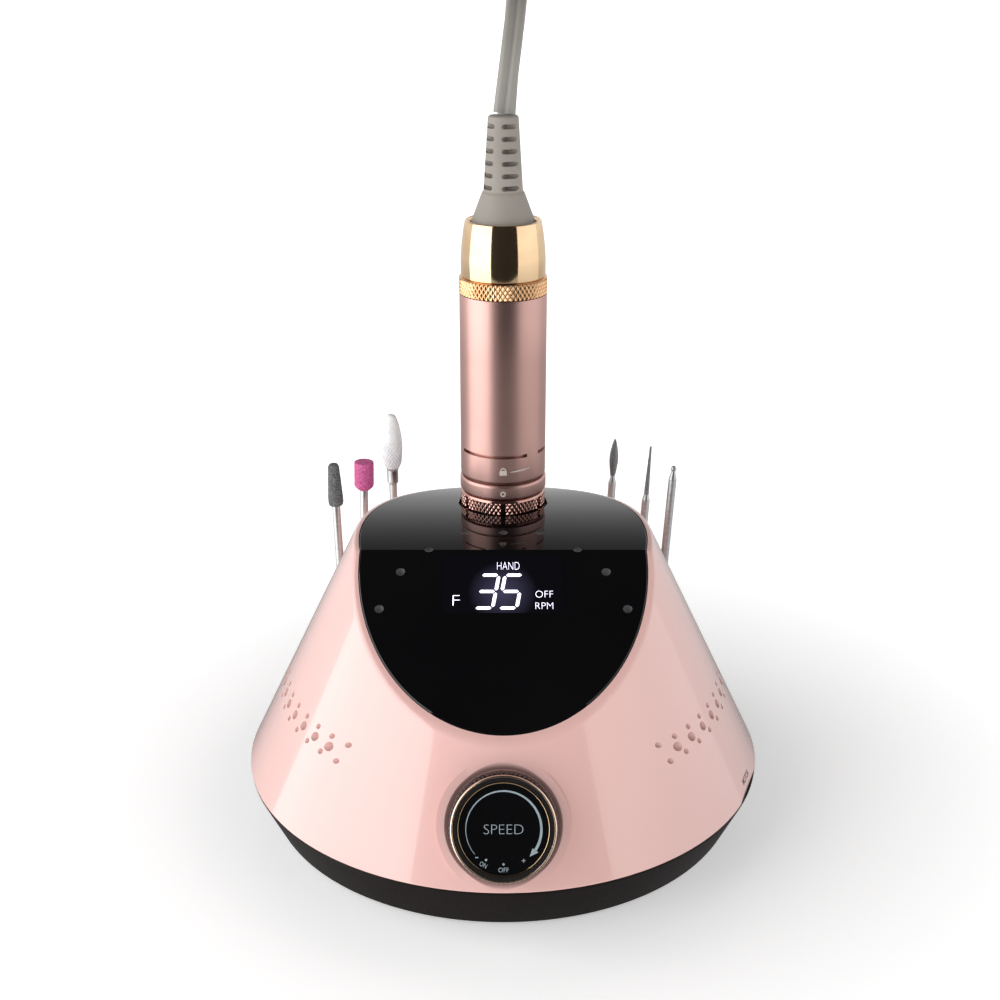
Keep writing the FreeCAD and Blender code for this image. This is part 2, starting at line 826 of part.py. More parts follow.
def handpiece_shells():
    """The handpiece's outside, from its nose up to the cord's strain relief."""
    grip = d.handpiece_radius
    sleeve = grip - 1.25
    profiles = {
        "nose_cone": [
            (3.6, 40.0), (5.0, 40.0), (5.6, 41.0), (8.3, 46.5), (9.6, 60.0), (11.6, 76.5), (11.6, 84.0),
            (6.45, 84.0), (6.45, 45.0), (3.6, 45.0),
        ],
        "front_ring": [
            (11.65, 78.0), (grip - 0.4, 78.0), (grip, 78.4), (grip, 89.0), (grip - 0.3, 89.3),
            (sleeve, 89.3), (sleeve, 84.05), (11.65, 84.05),
        ],
        "spindle_housing": [(6.6, 84.05), (sleeve - 0.05, 84.05), (sleeve - 0.05, 116.0), (6.6, 116.0)],
        "knurled_band": [(11.3, 148.5), (grip + 0.1, 148.5), (grip + 0.1, 153.3), (11.3, 153.3)],
        "rear_collar": [
            (10.9, 153.35), (12.05, 153.35), (12.05, 158.5), (11.75, 162.5), (11.25, 166.5), (10.75, 169.2),
            (9.95, 169.2), (9.4, 168.0), (9.4, 157.0),
        ],
        "motor_can": [
            (2.6, 118.0), (11.1, 118.0), (11.1, 148.0), (9.8, 148.0), (9.8, 119.2), (2.6, 119.2),
        ],
        "motor_magnets": [(7.9, 121.5), (9.75, 121.5), (9.75, 145.5), (7.9, 145.5)],
        "motor_end_cap": [(2.0, 148.05), (11.1, 148.05), (11.1, 151.5), (2.0, 151.5)],
    }
    return [on_handpiece(lathe(name, points)) for name, points in profiles.items()]


def body_tube():
    grip = d.handpiece_radius
    tube = lathe(
        "tube_blank",
        [(grip - 1.25, 94.3), (grip - 0.5, 94.3), (grip, 95.0), (grip, 148.45), (grip - 1.25, 148.45)],
    )
    slots = []
    for i in range(3):
        slot = document.addObject("Part::Cylinder", f"tube_slot_{i + 1}")
        bind(slot, Radius=grip + 2, Height=1.0, Angle=100)
        slot.Placement = FreeCAD.Placement(Vector(0, 0, 102.3), Rotation(Vector(0, 0, 1), -156 + 120 * i))
        slots.append(slot)
    return on_handpiece(cut("body_tube", tube, slots))


def strain_relief():
    """A tapered rubber boot: a skirt held in the collar, and a neck with six rows of flexing slots."""
    boot = lathe(
        "relief_blank",
        [(0, 158.5), (9.35, 158.5), (9.35, 167.9), (9.1, 168.3), (6.0, 176.6), (5.5, 177.2),
         (4.2, 197.5), (0, 197.5)],
    )
    slots = []
    for row in range(6):
        for word, side in (("left", -1), ("right", 1)):
            slot = block(f"relief_slot_{row + 1}_{word}", 3.4, 14, 0, 1.3, side * 4.2)
            slots.append(move(slot, 0, 0, 177.7 + 3.3 * row, Rotation(Vector(0, 0, 1), -20)))
    return on_handpiece(cut("strain_relief", boot, slots))


def spindle_bearings():
    """Three ball bearings on the spindle, drawn as closed rings."""
    bore = d.spindle_radius + 0.03
    rings = [ring(f"bearing_{i + 1}", bore, 6.4, low, low + 4) for i, low in enumerate((47, 78, 107))]
    return on_handpiece(group("spindle_bearings", rings))


def lock_ring():
    grip = d.handpiece_radius
    return on_handpiece(
        lathe(
            "lock_ring",
            [(grip - 1.15, 89.65), (grip - 0.1, 89.65), (grip + 0.2, 90.0), (grip + 0.2, 93.7),
             (grip - 0.1, 94.0), (grip - 1.15, 94.0)],
        )
    )


def cam_sleeve():
    """Turns with the lock ring, round the spindle, to free or close the collet."""
    return on_handpiece(ring("cam_sleeve", d.spindle_radius + 0.6, 6.45, 86.0, 98.0))


def turning_parts():
    """What turns together: spindle with its bit bore, collet, coupling and the motor's rotor."""
    shaft = d.spindle_radius
    profiles = {
        "spindle": [
            (2.25, 41.0), (shaft, 41.0), (shaft, 112.0), (0, 112.0), (0, 80.0), (1.6, 80.0), (1.6, 62.3),
            (2.25, 62.3),
        ],
        "collet": [
            (d.collet_bore_radius, 40.6), (2.0, 40.6), (2.2, 41.2), (2.2, 62.0),
            (d.collet_bore_radius, 62.0),
        ],
        "drive_coupling": [
            (0, 112.05), (4.6, 112.05), (4.6, 117.4), (1.55, 117.4), (1.55, 113.6), (0, 113.6),
        ],
        "motor_rotor": [
            (0, 113.7), (1.5, 113.7), (1.5, 122.0), (7.5, 122.0), (7.5, 144.5), (1.5, 144.5), (1.5, 150.5),
            (0, 150.5),
        ],
    }
    return [on_handpiece(lathe(name, points)) for name, points in profiles.items()]


# ---------------------------------------------------------------- bits

# Each head as (radius, height) points above the shank's shoulder.
BIT_HEADS = {
    "sanding_taper": [(1.9, 0.0), (2.19, 0.9), (2.15, 3.0), (1.6, 12.1), (1.2, 12.9)],
    "stone_barrel": [(1.6, 0.0), (2.9, 1.4), (2.9, 8.8), (2.7, 9.0)],
    "ceramic_flame": [
        (2.1, 0.0), (2.9, 1.8), (3.25, 4.2), (3.33, 7.5), (3.05, 10.8), (2.5, 14.0), (1.66, 16.5),
        (0.9, 17.3),
    ],
    "diamond_flame": [(0.72, 0.0), (1.1, 2.4), (1.37, 5.2), (1.2, 7.8), (0.75, 10.2), (0.25, 11.9)],
    "diamond_needle": [(0.75, 0.0), (0.3, 15.2)],
    "ball_tip": [(0.58, 0.0), (0.8, 0.3), (0.87, 0.65), (0.7, 1.2), (0.35, 1.5)],
}
# Each shank's own outline above the shoulder height, up to where the head begins.
BIT_NECKS = {
    "sanding_taper": [(1.175, 0.0)],
    "stone_barrel": [(1.175, 0.0)],
    "ceramic_flame": [(1.175, -5.0), (1.7, -4.5), (1.7, -0.5), (2.0, 0.0)],
    "diamond_flame": [(1.175, -2.2), (0.65, 0.0)],
    "diamond_needle": [(1.175, -1.8), (0.7, 0.0)],
    "ball_tip": [(1.175, -2.5), (0.55, 0.0)],
}
ONE_PIECE_BITS = ("diamond_flame", "diamond_needle", "ball_tip")


def bits():
    """The left three have a head set on a steel shank; the right three are one piece of steel each."""
    made = []
    for bit, head in BIT_HEADS.items():
        neck, low = BIT_NECKS[bit], -BITS[bit][-1]
        foot = [(0, low), (0.9, low), (d.shank_radius, low + 0.3)]
        if bit in ONE_PIECE_BITS:
            tip = [*neck, *head, (0, head[-1][1])]
            made.append(lean_bit(lathe(bit + "_bit", [*foot, *tip]), bit))
        else:
            made.append(lean_bit(lathe(bit + "_shank", [*foot, *neck, (0, neck[-1][1])]), bit))
            top = [(0, head[0][1] + 0.02), (head[0][0], head[0][1] + 0.02), *head[1:], (0, head[-1][1])]
            made.append(lean_bit(lathe(bit + "_head", top), bit))
    return made


# ---------------------------------------------------------------- cord, coil and plug


def rounded_path(route, told):
    """Straight runs joined by arcs that touch them, each arc as large as its two runs allow."""
    points = [Vector(*point) for point in route]
    edges, start, radii = [], points[0], []
    for before, corner, after in zip(points, points[1:], points[2:]):
        back, ahead = before - corner, after - corner
        half_turn = (math.pi - back.getAngle(ahead)) / 2
        cut_back = 0.45 * min(back.Length, ahead.Length)
        radii.append(cut_back / math.tan(half_turn))
        back.normalize()
        ahead.normalize()
        first, last = corner + back * cut_back, corner + ahead * cut_back
        bisector = back + ahead
        bisector.normalize()
        centre_distance = radii[-1] / math.cos(half_turn)
        middle = corner + bisector * (centre_distance - radii[-1])
        edges.append(Part.LineSegment(start, first).toShape())
        edges.append(Part.Arc(first, middle, last).toShape())
        start = last
    edges.append(Part.LineSegment(start, points[-1]).toShape())
    print(f"{told}: length {sum(edge.Length for edge in edges):.1f} mm, arc radii "
          + " ".join(f"{radius:.1f}" for radius in radii))
    return Part.Wire(edges)


def tube(name, route, radius):
    """A round tube along a route, its volume compared with its section times its length."""
    path = rounded_path(route, name)
    start, direction = path.Edges[0].Vertexes[0].Point, path.Edges[0].tangentAt(0)
    section = Part.Wire([Part.Circle(start, direction, radius).toShape()])
    solid = path.makePipeShell([section], True, False)
    expected = math.pi * radius * radius * path.Length
    if abs(solid.Volume / expected - 1) > 0.02:
        raise ValueError(f"{name}: volume {solid.Volume:.0f}, expected {expected:.0f}")
    item = document.addObject("Part::Feature", name)
    item.Shape = solid
    return item


def cord_coil():
    """The closed outer shape of the put-away turns: three side by side in two layers."""
    half = d.coil_turns_wide * d.cord_width / 2
    coil = ring("cord_coil", d.coil_radius - half, d.coil_radius + half, 0, d.coil_layers * d.cord_width)
    return move(coil, d.coil_x, d.coil_y)


def plug():
    """The plug lying beside the coil on the table: a soft-cornered grip and a metal contact barrel."""
    before, end = (Vector(*point) for point in TAIL_ROUTE[-2:])
    ahead = Vector(end.x - before.x, end.y - before.y, 0)
    lying = Rotation(Vector(0, 0, 1), ahead)
    grip = lathe(
        "plug_body",
        [(0, 0), (2.9, 0), (3.4, 10), (4.6, 11), (4.8, 12), (4.8, 31), (4.3, 32), (0, 32)],
    )
    contact = ring("plug_contact", 1.05, 2.75, 32.02, 41.5)
    return [move(item, end.x, end.y, end.z, lying) for item in (grip, contact)]


def cord_pieces():
    lead = tube("cord_lead", CORD_ROUTE, d.cord_width.value / 2)
    tail = tube("cord_tail", TAIL_ROUTE, d.cord_width.value / 2)
    return [lead, cord_coil(), tail, *plug()]


# ---------------------------------------------------------------- wires inside


def wiring():
    """Three loose leads: to the speed control, to the display and to the motor socket."""
    routes = {
        "pot_wire": ((-26, -22, 21.5), (-22, -30, 27), (-12, -38, 27), (-6, -48, 24)),
        "display_wire": ((-9, -22, 21.5), (-6, -20, 34), (2, -19, 46), (4, -17.5, 58), (3, -16.5, 66)),
        "motor_wire": ((8, -22, 21.5), (20, -25, 28), (38, -21, 27), (50, -13, 21)),
    }
    wires = [tube(name, route, 0.9) for name, route in routes.items()]
    return group("wiring", wires)


# ---------------------------------------------------------------- assembly

pieces = [
    upper_shell(),
    display_panel(),
    display_module(),
    base_pan(),
    rubber_feet(),
    base_screws(),
    board_screws(),
    control_board(),
    board_parts(),
    heat_sink(),
    ballast_plate(),
    handpiece_well(),
    bit_racks(),
    rocker_switch("mode_switch", d.mode_azimuth),
    rocker_switch("direction_switch", d.direction_azimuth),
    rocker("mode_rocker", d.mode_azimuth),
    rocker("direction_rocker", d.direction_azimuth),
    socket("motor_socket", d.motor_azimuth, d.socket_bore_radius, 9.6, 0.95, d.motor_height),
    socket("pedal_socket", d.pedal_azimuth, d.pedal_bore_radius, 12.0, 0, d.socket_height),
    socket("power_inlet", d.inlet_azimuth, d.socket_bore_radius, 9.6, 0.95, d.socket_height),
    socket_nuts(),
    wiring(),
    speed_pot(),
    pot_shaft(),
    knob_body(),
    knob_ring(),
    knob_inner_ring(),
    knob_disc(),
    *handpiece_shells(),
    body_tube(),
    strain_relief(),
    spindle_bearings(),
    lock_ring(),
    cam_sleeve(),
    *turning_parts(),
    *bits(),
    *cord_pieces(),
]
document.recompute()

for item in document.Objects:
    if "Invalid" in item.State or "Error" in item.State:
        raise RuntimeError(f"{item.Name} failed: {item.State}")
for piece in pieces:
    if piece.Shape.isNull() or not piece.Shape.isValid() or piece.Shape.Volume <= 0:
        raise RuntimeError(f"{piece.Label} has no valid solid")

os.makedirs("parts", exist_ok=True)
for piece in pieces:
    piece.Shape.exportStep(f"parts/{piece.Label}.step")
    print(f"{piece.Label}: {len(piece.Shape.Solids)} solids, {piece.Shape.Volume:.0f} mm3")
print(f"{len(pieces)} nodes")
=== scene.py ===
import math

import bmesh
import bpy
import numpy as np
from mathutils import Matrix, Vector, noise


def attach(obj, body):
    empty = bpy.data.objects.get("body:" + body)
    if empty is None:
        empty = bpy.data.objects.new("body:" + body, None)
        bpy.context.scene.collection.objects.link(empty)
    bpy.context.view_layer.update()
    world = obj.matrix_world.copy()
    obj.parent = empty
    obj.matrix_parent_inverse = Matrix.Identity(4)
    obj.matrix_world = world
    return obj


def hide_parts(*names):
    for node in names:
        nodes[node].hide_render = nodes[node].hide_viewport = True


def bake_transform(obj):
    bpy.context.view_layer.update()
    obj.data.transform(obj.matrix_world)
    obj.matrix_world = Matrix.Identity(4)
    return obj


# Electric nail drill: the looks of every piece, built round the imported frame.
# Outlines are written in millimetres and settled in metres, in the frame of the CAD model.

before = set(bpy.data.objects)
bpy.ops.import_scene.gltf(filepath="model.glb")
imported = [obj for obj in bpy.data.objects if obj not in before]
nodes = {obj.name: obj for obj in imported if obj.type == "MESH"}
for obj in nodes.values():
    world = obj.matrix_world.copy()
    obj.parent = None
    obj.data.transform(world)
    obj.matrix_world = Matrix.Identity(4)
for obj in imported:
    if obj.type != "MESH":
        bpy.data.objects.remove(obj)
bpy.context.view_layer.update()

MM = 0.001
TURN = 2 * math.pi

# ---------------------------------------------------------------- the object's own measures, in mm

FOOT_RADIUS, FOOT_HEIGHT = 75.8, 15.0
LEAN = math.radians(25.76)
TIP_Y, TIP_HEIGHT = -59.2, 49.3
SLOPE = math.radians(35.1)
CREASE_Y = -11.3
WINDOW_Y = -20.0
CROWN_Y, CROWN_RADIUS = 12.0, 140.0
HANDPIECE_Y = 22.0
PANEL_INSET, PANEL_PROUD, PANEL_THICKNESS = 1.4, 0.15, 1.6
WALL = 2.4 / math.cos(LEAN)
KNOB_HEIGHT = 30.5
BITS = {
    "sanding_taper": (-49.0, 12.0, -1.3, 87.2, 36.0),
    "stone_barrel": (-41.7, 23.0, 1.5, 87.8, 36.0),
    "ceramic_flame": (-33.85, 34.0, -0.3, 90.7, 38.0),
    "diamond_flame": (33.7, 34.0, 2.2, 88.2, 36.0),
    "diamond_needle": (43.1, 23.0, 3.0, 86.4, 34.0),
    "ball_tip": (49.55, 12.0, 3.1, 97.9, 44.0),
}
SHANK_RADIUS = 1.175


def radius_at(height):
    """The shell's outer radius at a height."""
    return FOOT_RADIUS - (height - FOOT_HEIGHT) * math.tan(LEAN)


def top_height(y):
    """The height of the panel's surface at a distance y."""
    crease = TIP_HEIGHT + (CREASE_Y - TIP_Y) * math.tan(SLOPE)
    centre = crease - math.sqrt(CROWN_RADIUS**2 - (CREASE_Y - CROWN_Y) ** 2)
    slope = TIP_HEIGHT + (y - TIP_Y) * math.tan(SLOPE)
    arch = centre + np.sqrt(CROWN_RADIUS**2 - np.minimum(np.abs(y - CROWN_Y), CROWN_RADIUS) ** 2)
    return np.where(np.asarray(y) < CREASE_Y, slope, arch)


def rim_point(turn, drop, inset):
    """Where the cone's side, set in by inset, meets the top lowered by drop, in the direction turn."""
    low, high = 30.0, 110.0
    for _ in range(50):
        middle = (low + high) / 2
        radius = radius_at(middle) - inset
        if float(top_height(radius * math.sin(turn))) - drop > middle:
            low = middle
        else:
            high = middle
    radius = radius_at(low) - inset
    return np.array([radius * math.cos(turn), radius * math.sin(turn), low])


def on_shell(azimuth, height, out=0.0):
    """The frame of a piece on the shell's side: Z along the outward normal, Y up the slope."""
    azimuth = math.radians(azimuth)
    radius = radius_at(height)
    place = Matrix.Translation((radius * math.sin(azimuth), -radius * math.cos(azimuth), height))
    turn = Matrix.Rotation(azimuth, 4, "Z") @ Matrix.Rotation(math.pi / 2 - LEAN, 4, "X")
    return place @ turn @ Matrix.Translation((0, 0, out))


def on_slope(out=0.0):
    """The frame of the display on the panel's slope: Z along the outward normal, Y up the slope."""
    place = Matrix.Translation((0, WINDOW_Y, float(top_height(WINDOW_Y))))
    return place @ Matrix.Rotation(SLOPE, 4, "X") @ Matrix.Translation((0, 0, out))


ON_HANDPIECE = Matrix.Translation((0, HANDPIECE_Y, 0))


def along_bit(bit):
    """The frame of a bit: its origin where the head begins, Z along its shank."""
    x, y, lean, height, _ = BITS[bit]
    return Matrix.Translation((x, y, height)) @ Matrix.Rotation(math.radians(lean), 4, "Y")


# ---------------------------------------------------------------- camera and light

CAMERA_PLACE = (-0.0009, -0.388, 0.24547)
CAMERA_DIP = 21.391
CAMERA_LENS = 52.76


def add_camera():
    """The photo's camera, fitted to the object in it."""
    camera = bpy.data.objects.new("camera", bpy.data.cameras.new("camera"))
    bpy.context.scene.collection.objects.link(camera)
    camera.location = CAMERA_PLACE
    camera.rotation_euler = (math.radians(90 - CAMERA_DIP), 0, 0)
    camera.data.lens = CAMERA_LENS
    camera.data.sensor_width = 36.0
    camera.data.clip_start, camera.data.clip_end = 0.01, 50.0
    bpy.context.scene.camera = camera


def add_softbox(name, place, facing, width, height, radiance, mirrored=True):
    """An upright softbox the camera doesn't see; reflections show it when it is mirrored."""
    light = bpy.data.lights.new(name, "AREA")
    light.shape = "RECTANGLE"
    light.size, light.size_y = width, height
    light.energy = radiance * width * height * math.pi
    lamp = bpy.data.objects.new(name, light)
    lamp.location = place
    lamp.rotation_euler = Vector(facing).to_track_quat("-Z", "Y").to_euler()
    lamp.visible_camera = False
    lamp.visible_glossy = mirrored
    bpy.context.scene.collection.objects.link(lamp)


def add_flag():
    """A black card behind the camera, which the polished metal mirrors between the two softboxes."""
    corners = [(-0.29, -0.42, 0), (0.37, -0.42, 0), (0.37, -0.42, 0.8), (-0.29, -0.42, 0.8)]
    mesh = bpy.data.meshes.new("studio_flag")
    mesh.from_pydata(corners, [], [(0, 1, 2, 3)])
    flag = new_object("studio_flag", mesh)
    card = surface("black_card", (0.008, 0.008, 0.008), (0.012, 0.012, 0.012), rough=(0.8, 0.9))
    mesh.materials.append(card)
    flag.visible_camera = flag.visible_diffuse = flag.visible_shadow = False


# The studio's brightness from below the horizon up, as (sine of the height, brightness).
SKY = (
    (-0.4, 0.3), (-0.2, 0.7), (0.0, 0.95), (0.3, 0.85), (0.45, 0.6), (0.62, 0.3), (0.78, 0.08), (0.97, 0.03),
)


def add_sky():
    """Pale walls that darken upwards, so that the panel mirrors a dark ceiling."""
    world = bpy.data.worlds.new("studio")
    world.use_nodes = True
    tree = world.node_tree
    add = node_adder(tree)
    parts = add("ShaderNodeSeparateXYZ", Vector=add("ShaderNodeTexCoord").outputs["Generated"])
    share = add("ShaderNodeMapRange", Value=parts.outputs["Z"], From_Min=-1.0)
    ramp = add("ShaderNodeValToRGB", Fac=share.outputs["Result"])
    tree.links.new(ramp.outputs["Color"], tree.nodes["Background"].inputs["Color"])
    steps = ramp.color_ramp.elements
    for i, (height, brightness) in enumerate(SKY):
        step = steps[i] if i < 2 else steps.new((1 + height) / 2)
        step.position = (1 + height) / 2
        step.color = (brightness, brightness, brightness, 1)
    bpy.context.scene.world = world


def add_lights():
    """Two tall softboxes, a weak light from the front, a black card and the sky."""
    add_softbox("softbox_left", (-0.5, -0.315, 0.26), (1, 0, 0), 0.87, 1.3, 1.72)
    add_softbox("softbox_right", (0.5, -0.187, 0.26), (-1, 0, 0), 0.774, 1.3, 0.33)
    add_softbox("front_fill", (-0.05, -0.9, 0.3), (0.05, 0.9, -0.25), 0.4, 0.4, 2.3, mirrored=False)
    add_flag()
    add_sky()
    bpy.context.scene.view_settings.view_transform = "Standard"


# ---------------------------------------------------------------- materials


def node_adder(tree):
    """A short way to add nodes to a tree, their inputs set to values or linked to other outputs."""
    def add(kind, **inputs):
        node = tree.nodes.new(kind)
        for socket, value in inputs.items():
            socket = socket.replace("_", " ")
            if isinstance(value, bpy.types.NodeSocket):
                tree.links.new(value, node.inputs[socket])
            else:
                node.inputs[socket].default_value = value
        return node
    return add


def new_material(name):
    """A material with its tree, its shader, and a short way to add nodes to it."""
    made = bpy.data.materials.new(name)
    made.use_nodes = True
    tree = made.node_tree
    return made, tree, tree.nodes["Principled BSDF"], node_adder(tree)


def surface(name, colour, second, patch=60.0, rough=(0.4, 0.5), grain=600.0, relief=0.02,
            stretch=(1, 1, 1), detail=4.0, **constants):
    """A material with two colours in soft patches, an uneven roughness and a fine relief in mm."""
    made, tree, shader, add = new_material(name)
    place = add("ShaderNodeTexCoord").outputs["Object"]
    if stretch != (1, 1, 1):
        place = add("ShaderNodeMapping", Vector=place, Scale=stretch).outputs["Vector"]
    patches = add("ShaderNodeTexNoise", Vector=place, Scale=patch, Detail=3.0)
    ramp = add("ShaderNodeValToRGB", Fac=patches.outputs["Fac"])
    ramp.color_ramp.elements[0].position, ramp.color_ramp.elements[1].position = 0.35, 0.65
    ramp.color_ramp.elements[0].color = (*colour, 1)
    ramp.color_ramp.elements[1].color = (*second, 1)
    tree.links.new(ramp.outputs["Color"], shader.inputs["Base Color"])
    fine = add("ShaderNodeTexNoise", Vector=place, Scale=grain, Detail=detail)
    spread = add("ShaderNodeMapRange", Value=fine.outputs["Fac"], From_Min=0.3, From_Max=0.7,
                 To_Min=rough[0], To_Max=rough[1])
    tree.links.new(spread.outputs["Result"], shader.inputs["Roughness"])
    if relief:
        bump = add("ShaderNodeBump", Height=fine.outputs["Fac"], Strength=1.0, Distance=relief * MM)
        tree.links.new(bump.outputs["Normal"], shader.inputs["Normal"])
    for socket, value in constants.items():
        shader.inputs[socket.replace("_", " ")].default_value = value
    return made


def srgb(red, green, blue):
    """A colour given as 0-255 in sRGB, in the shader's linear units."""
    def linear(value):
        value /= 255
        return value / 12.92 if value <= 0.04045 else ((value + 0.055) / 1.055) ** 2.4
    return linear(red), linear(green), linear(blue)


METAL = {"Metallic": 1.0}
# Every finish: its material, its two colours, the patches' scale, the roughness from and to, the grain's
# scale, the relief in mm, and what else it sets.
FINISHES = {
    "shell": (
        "pink_paint", (0.81, 0.50, 0.462), (0.795, 0.487, 0.45), 25, (0.16, 0.2), 900, 0.002,
        {"Coat_Weight": 0.8, "Coat_Roughness": 0.03},
    ),
    "panel": (
        "black_glass", (0.002, 0.002, 0.0025), (0.003, 0.003, 0.0035), 20, (0.035, 0.05), 300, 0.0004,
        {"Specular_IOR_Level": 0.62},
    ),
    "base": (
        "base_plastic", (0.013, 0.0098, 0.009), (0.0105, 0.0075, 0.007), 40, (0.45, 0.58), 1800, 0.03,
        {"Specular_IOR_Level": 0.13},
    ),
    "rubber": ("pad_rubber", (0.012, 0.012, 0.012), (0.02, 0.02, 0.02), 90, (0.75, 0.9), 1500, 0.03, {}),
    "zinc": ("zinc_screw", (0.5, 0.5, 0.52), (0.42, 0.42, 0.43), 400, (0.28, 0.42), 1200, 0.01, METAL),
    "board": ("solder_mask", (0.01, 0.09, 0.04), (0.012, 0.11, 0.05), 200, (0.3, 0.4), 900, 0.02, {}),
    "moulded": (
        "moulded_black", (0.012, 0.012, 0.013), (0.018, 0.018, 0.019), 120, (0.36, 0.46), 1400, 0.015,
        {},
    ),
    "alloy": ("plain_alloy", (0.55, 0.55, 0.57), (0.48, 0.48, 0.5), 150, (0.3, 0.42), 900, 0.01, METAL),
    "iron": ("cast_plate", (0.2, 0.2, 0.21), (0.14, 0.14, 0.15), 120, (0.5, 0.65), 700, 0.05, METAL),
    "rack": ("rack_nylon", srgb(205, 165, 158), srgb(198, 158, 150), 90, (0.45, 0.55), 900, 0.01, {}),
    "rose": ("rose_satin", srgb(208, 168, 160), srgb(200, 160, 152), 30, (0.35, 0.42), 2600, 0.006, METAL),
    "rose_bright": (
        "rose_bright", srgb(205, 160, 150), srgb(196, 150, 140), 200, (0.1, 0.16), 900, 0.001, METAL,
    ),
    "rim_gold": (
        "pale_gold", srgb(252, 226, 205), srgb(246, 218, 196), 200, (0.2, 0.28), 900, 0.001, METAL,
    ),
    "gold": (
        "polished_gold", srgb(238, 206, 166), srgb(232, 198, 156), 120, (0.06, 0.1), 900, 0.0006, METAL,
    ),
    "knurl_gold": (
        "knurled_gold", srgb(240, 195, 150), srgb(225, 175, 128), 500, (0.16, 0.26), 1800, 0.004, METAL,
    ),
    "black_metal": (
        "black_knob", (0.012, 0.011, 0.011), (0.016, 0.014, 0.013), 150, (0.16, 0.24), 900, 0.003,
        {"Coat_Weight": 0.5, "Coat_Roughness": 0.06},
    ),
    "boot": (
        "boot_rubber", srgb(144, 137, 129), srgb(137, 130, 122), 60, (0.55, 0.66), 1500, 0.02,
        {"Sheen_Weight": 0.1},
    ),
    "cord": ("cord_sheath", srgb(141, 138, 132), srgb(134, 131, 125), 80, (0.38, 0.48), 900, 0.008, {}),
    "plug": ("plug_plastic", srgb(120, 116, 110), srgb(112, 108, 102), 90, (0.4, 0.5), 1300, 0.015, {}),
    "nickel": ("nickel", (0.72, 0.71, 0.68), (0.66, 0.65, 0.62), 250, (0.12, 0.2), 900, 0.002, METAL),
    "steel": (
        "ground_steel", (0.62, 0.62, 0.62), (0.52, 0.52, 0.52), 300, (0.34, 0.48), 1200, 0.003,
        {**METAL, "stretch": (1, 1, 8)},
    ),
    "inner_steel": (
        "drawn_steel", (0.45, 0.45, 0.46), (0.36, 0.36, 0.37), 120, (0.3, 0.42), 800, 0.006, METAL,
    ),
    "brass": (
        "nickelled_brass", (0.65, 0.55, 0.35), (0.55, 0.46, 0.28), 200, (0.25, 0.35), 900, 0.004, METAL,
    ),
    "diamond": (
        "diamond_grit", (0.2, 0.2, 0.2), (0.46, 0.46, 0.46), 5200, (0.25, 0.6), 6000, 0.16,
        {**METAL, "detail": 2.0},
    ),
    "sanded": (
        "sanding_grit", (0.028, 0.028, 0.03), (0.2, 0.205, 0.21), 2600, (0.5, 0.85), 4200, 0.25,
        {"detail": 2.0},
    ),
    "corundum": (
        "pink_corundum", srgb(226, 118, 170), srgb(184, 66, 128), 2600, (0.6, 0.85), 3600, 0.22,
        {"detail": 3.0},
    ),
    "ceramic": ("white_ceramic", srgb(242, 242, 242), srgb(226, 227, 229), 600, (0.4, 0.5), 2500, 0.02, {}),
    "dimple": (
        "frosted_glass", (0.045, 0.045, 0.048), (0.06, 0.06, 0.064), 900, (0.4, 0.5), 2500, 0.003, {},
    ),
    "ink": ("grey_print", srgb(150, 165, 172), srgb(142, 157, 164), 600, (0.35, 0.45), 2500, 0.004, {}),
    "etched": ("etched_mark", srgb(186, 175, 166), srgb(176, 166, 157), 900, (0.5, 0.62), 3000, 0.004, {}),
    "dark_ink": ("dark_print", (0.03, 0.028, 0.028), (0.045, 0.04, 0.04), 600, (0.4, 0.5), 2500, 0.004, {}),
}


def make_materials():
    """Every finish of the table, by its name."""
    return {look: surface(*values, **extra) for look, (*values, extra) in FINISHES.items()}


def lit_material():
    """The display's light: lavender white, a little uneven, as light through a diffuser is."""
    made, tree, shader, add = new_material("display_light")
    place = add("ShaderNodeTexCoord").outputs["Object"]
    cloud = add("ShaderNodeTexNoise", Vector=place, Scale=300.0, Detail=1.0)
    ramp = add("ShaderNodeValToRGB", Fac=cloud.outputs["Fac"])
    ramp.color_ramp.elements[0].color = (0.78, 0.74, 1.0, 1)
    ramp.color_ramp.elements[1].color = (0.95, 0.93, 1.0, 1)
    tree.links.new(ramp.outputs["Color"], shader.inputs["Emission Color"])
    tree.links.new(ramp.outputs["Color"], shader.inputs["Base Color"])
    shader.inputs["Emission Strength"].default_value = 1.8
    shader.inputs["Roughness"].default_value = 0.5
    return made


looks = {}

# ---------------------------------------------------------------- mesh building


def new_object(name, mesh):
    made = bpy.data.objects.new(name, mesh)
    bpy.context.scene.collection.objects.link(made)
    return made


def from_points(name, points, faces):
    """A mesh with its faces turned outwards, as an object."""
    mesh = bpy.data.meshes.new(name)
    mesh.from_pydata([tuple(float(value) for value in point) for point in points], [], faces)
    fixed = bmesh.new()
    fixed.from_mesh(mesh)
    bmesh.ops.recalc_face_normals(fixed, faces=fixed.faces)
    fixed.to_mesh(mesh)
    fixed.free()
    return new_object(name, mesh)


def from_bmesh(name, made):
    """A finished bmesh as an object."""
    mesh = bpy.data.meshes.new(name)
    made.to_mesh(mesh)
    made.free()
    return new_object(name, mesh)


def soften(outline, radius, steps=3):
    """The outline with each corner that isn't on the axis rounded off."""
    points = [Vector(point) for point in outline]
    count = len(points)
    result = []
    for i, corner in enumerate(points):
        if corner.x < 1e-6:
            result.append(corner)
            continue
        before, after = points[i - 1] - corner, points[(i + 1) % count] - corner
        reach = min(radius, 0.42 * before.length, 0.42 * after.length)
        first, last = corner + before.normalized() * reach, corner + after.normalized() * reach
        for step in range(steps + 1):
            t = step / steps
            result.append(first * (1 - t) ** 2 + corner * 2 * t * (1 - t) + last * t**2)
    return [(point.x, point.y) for point in result]


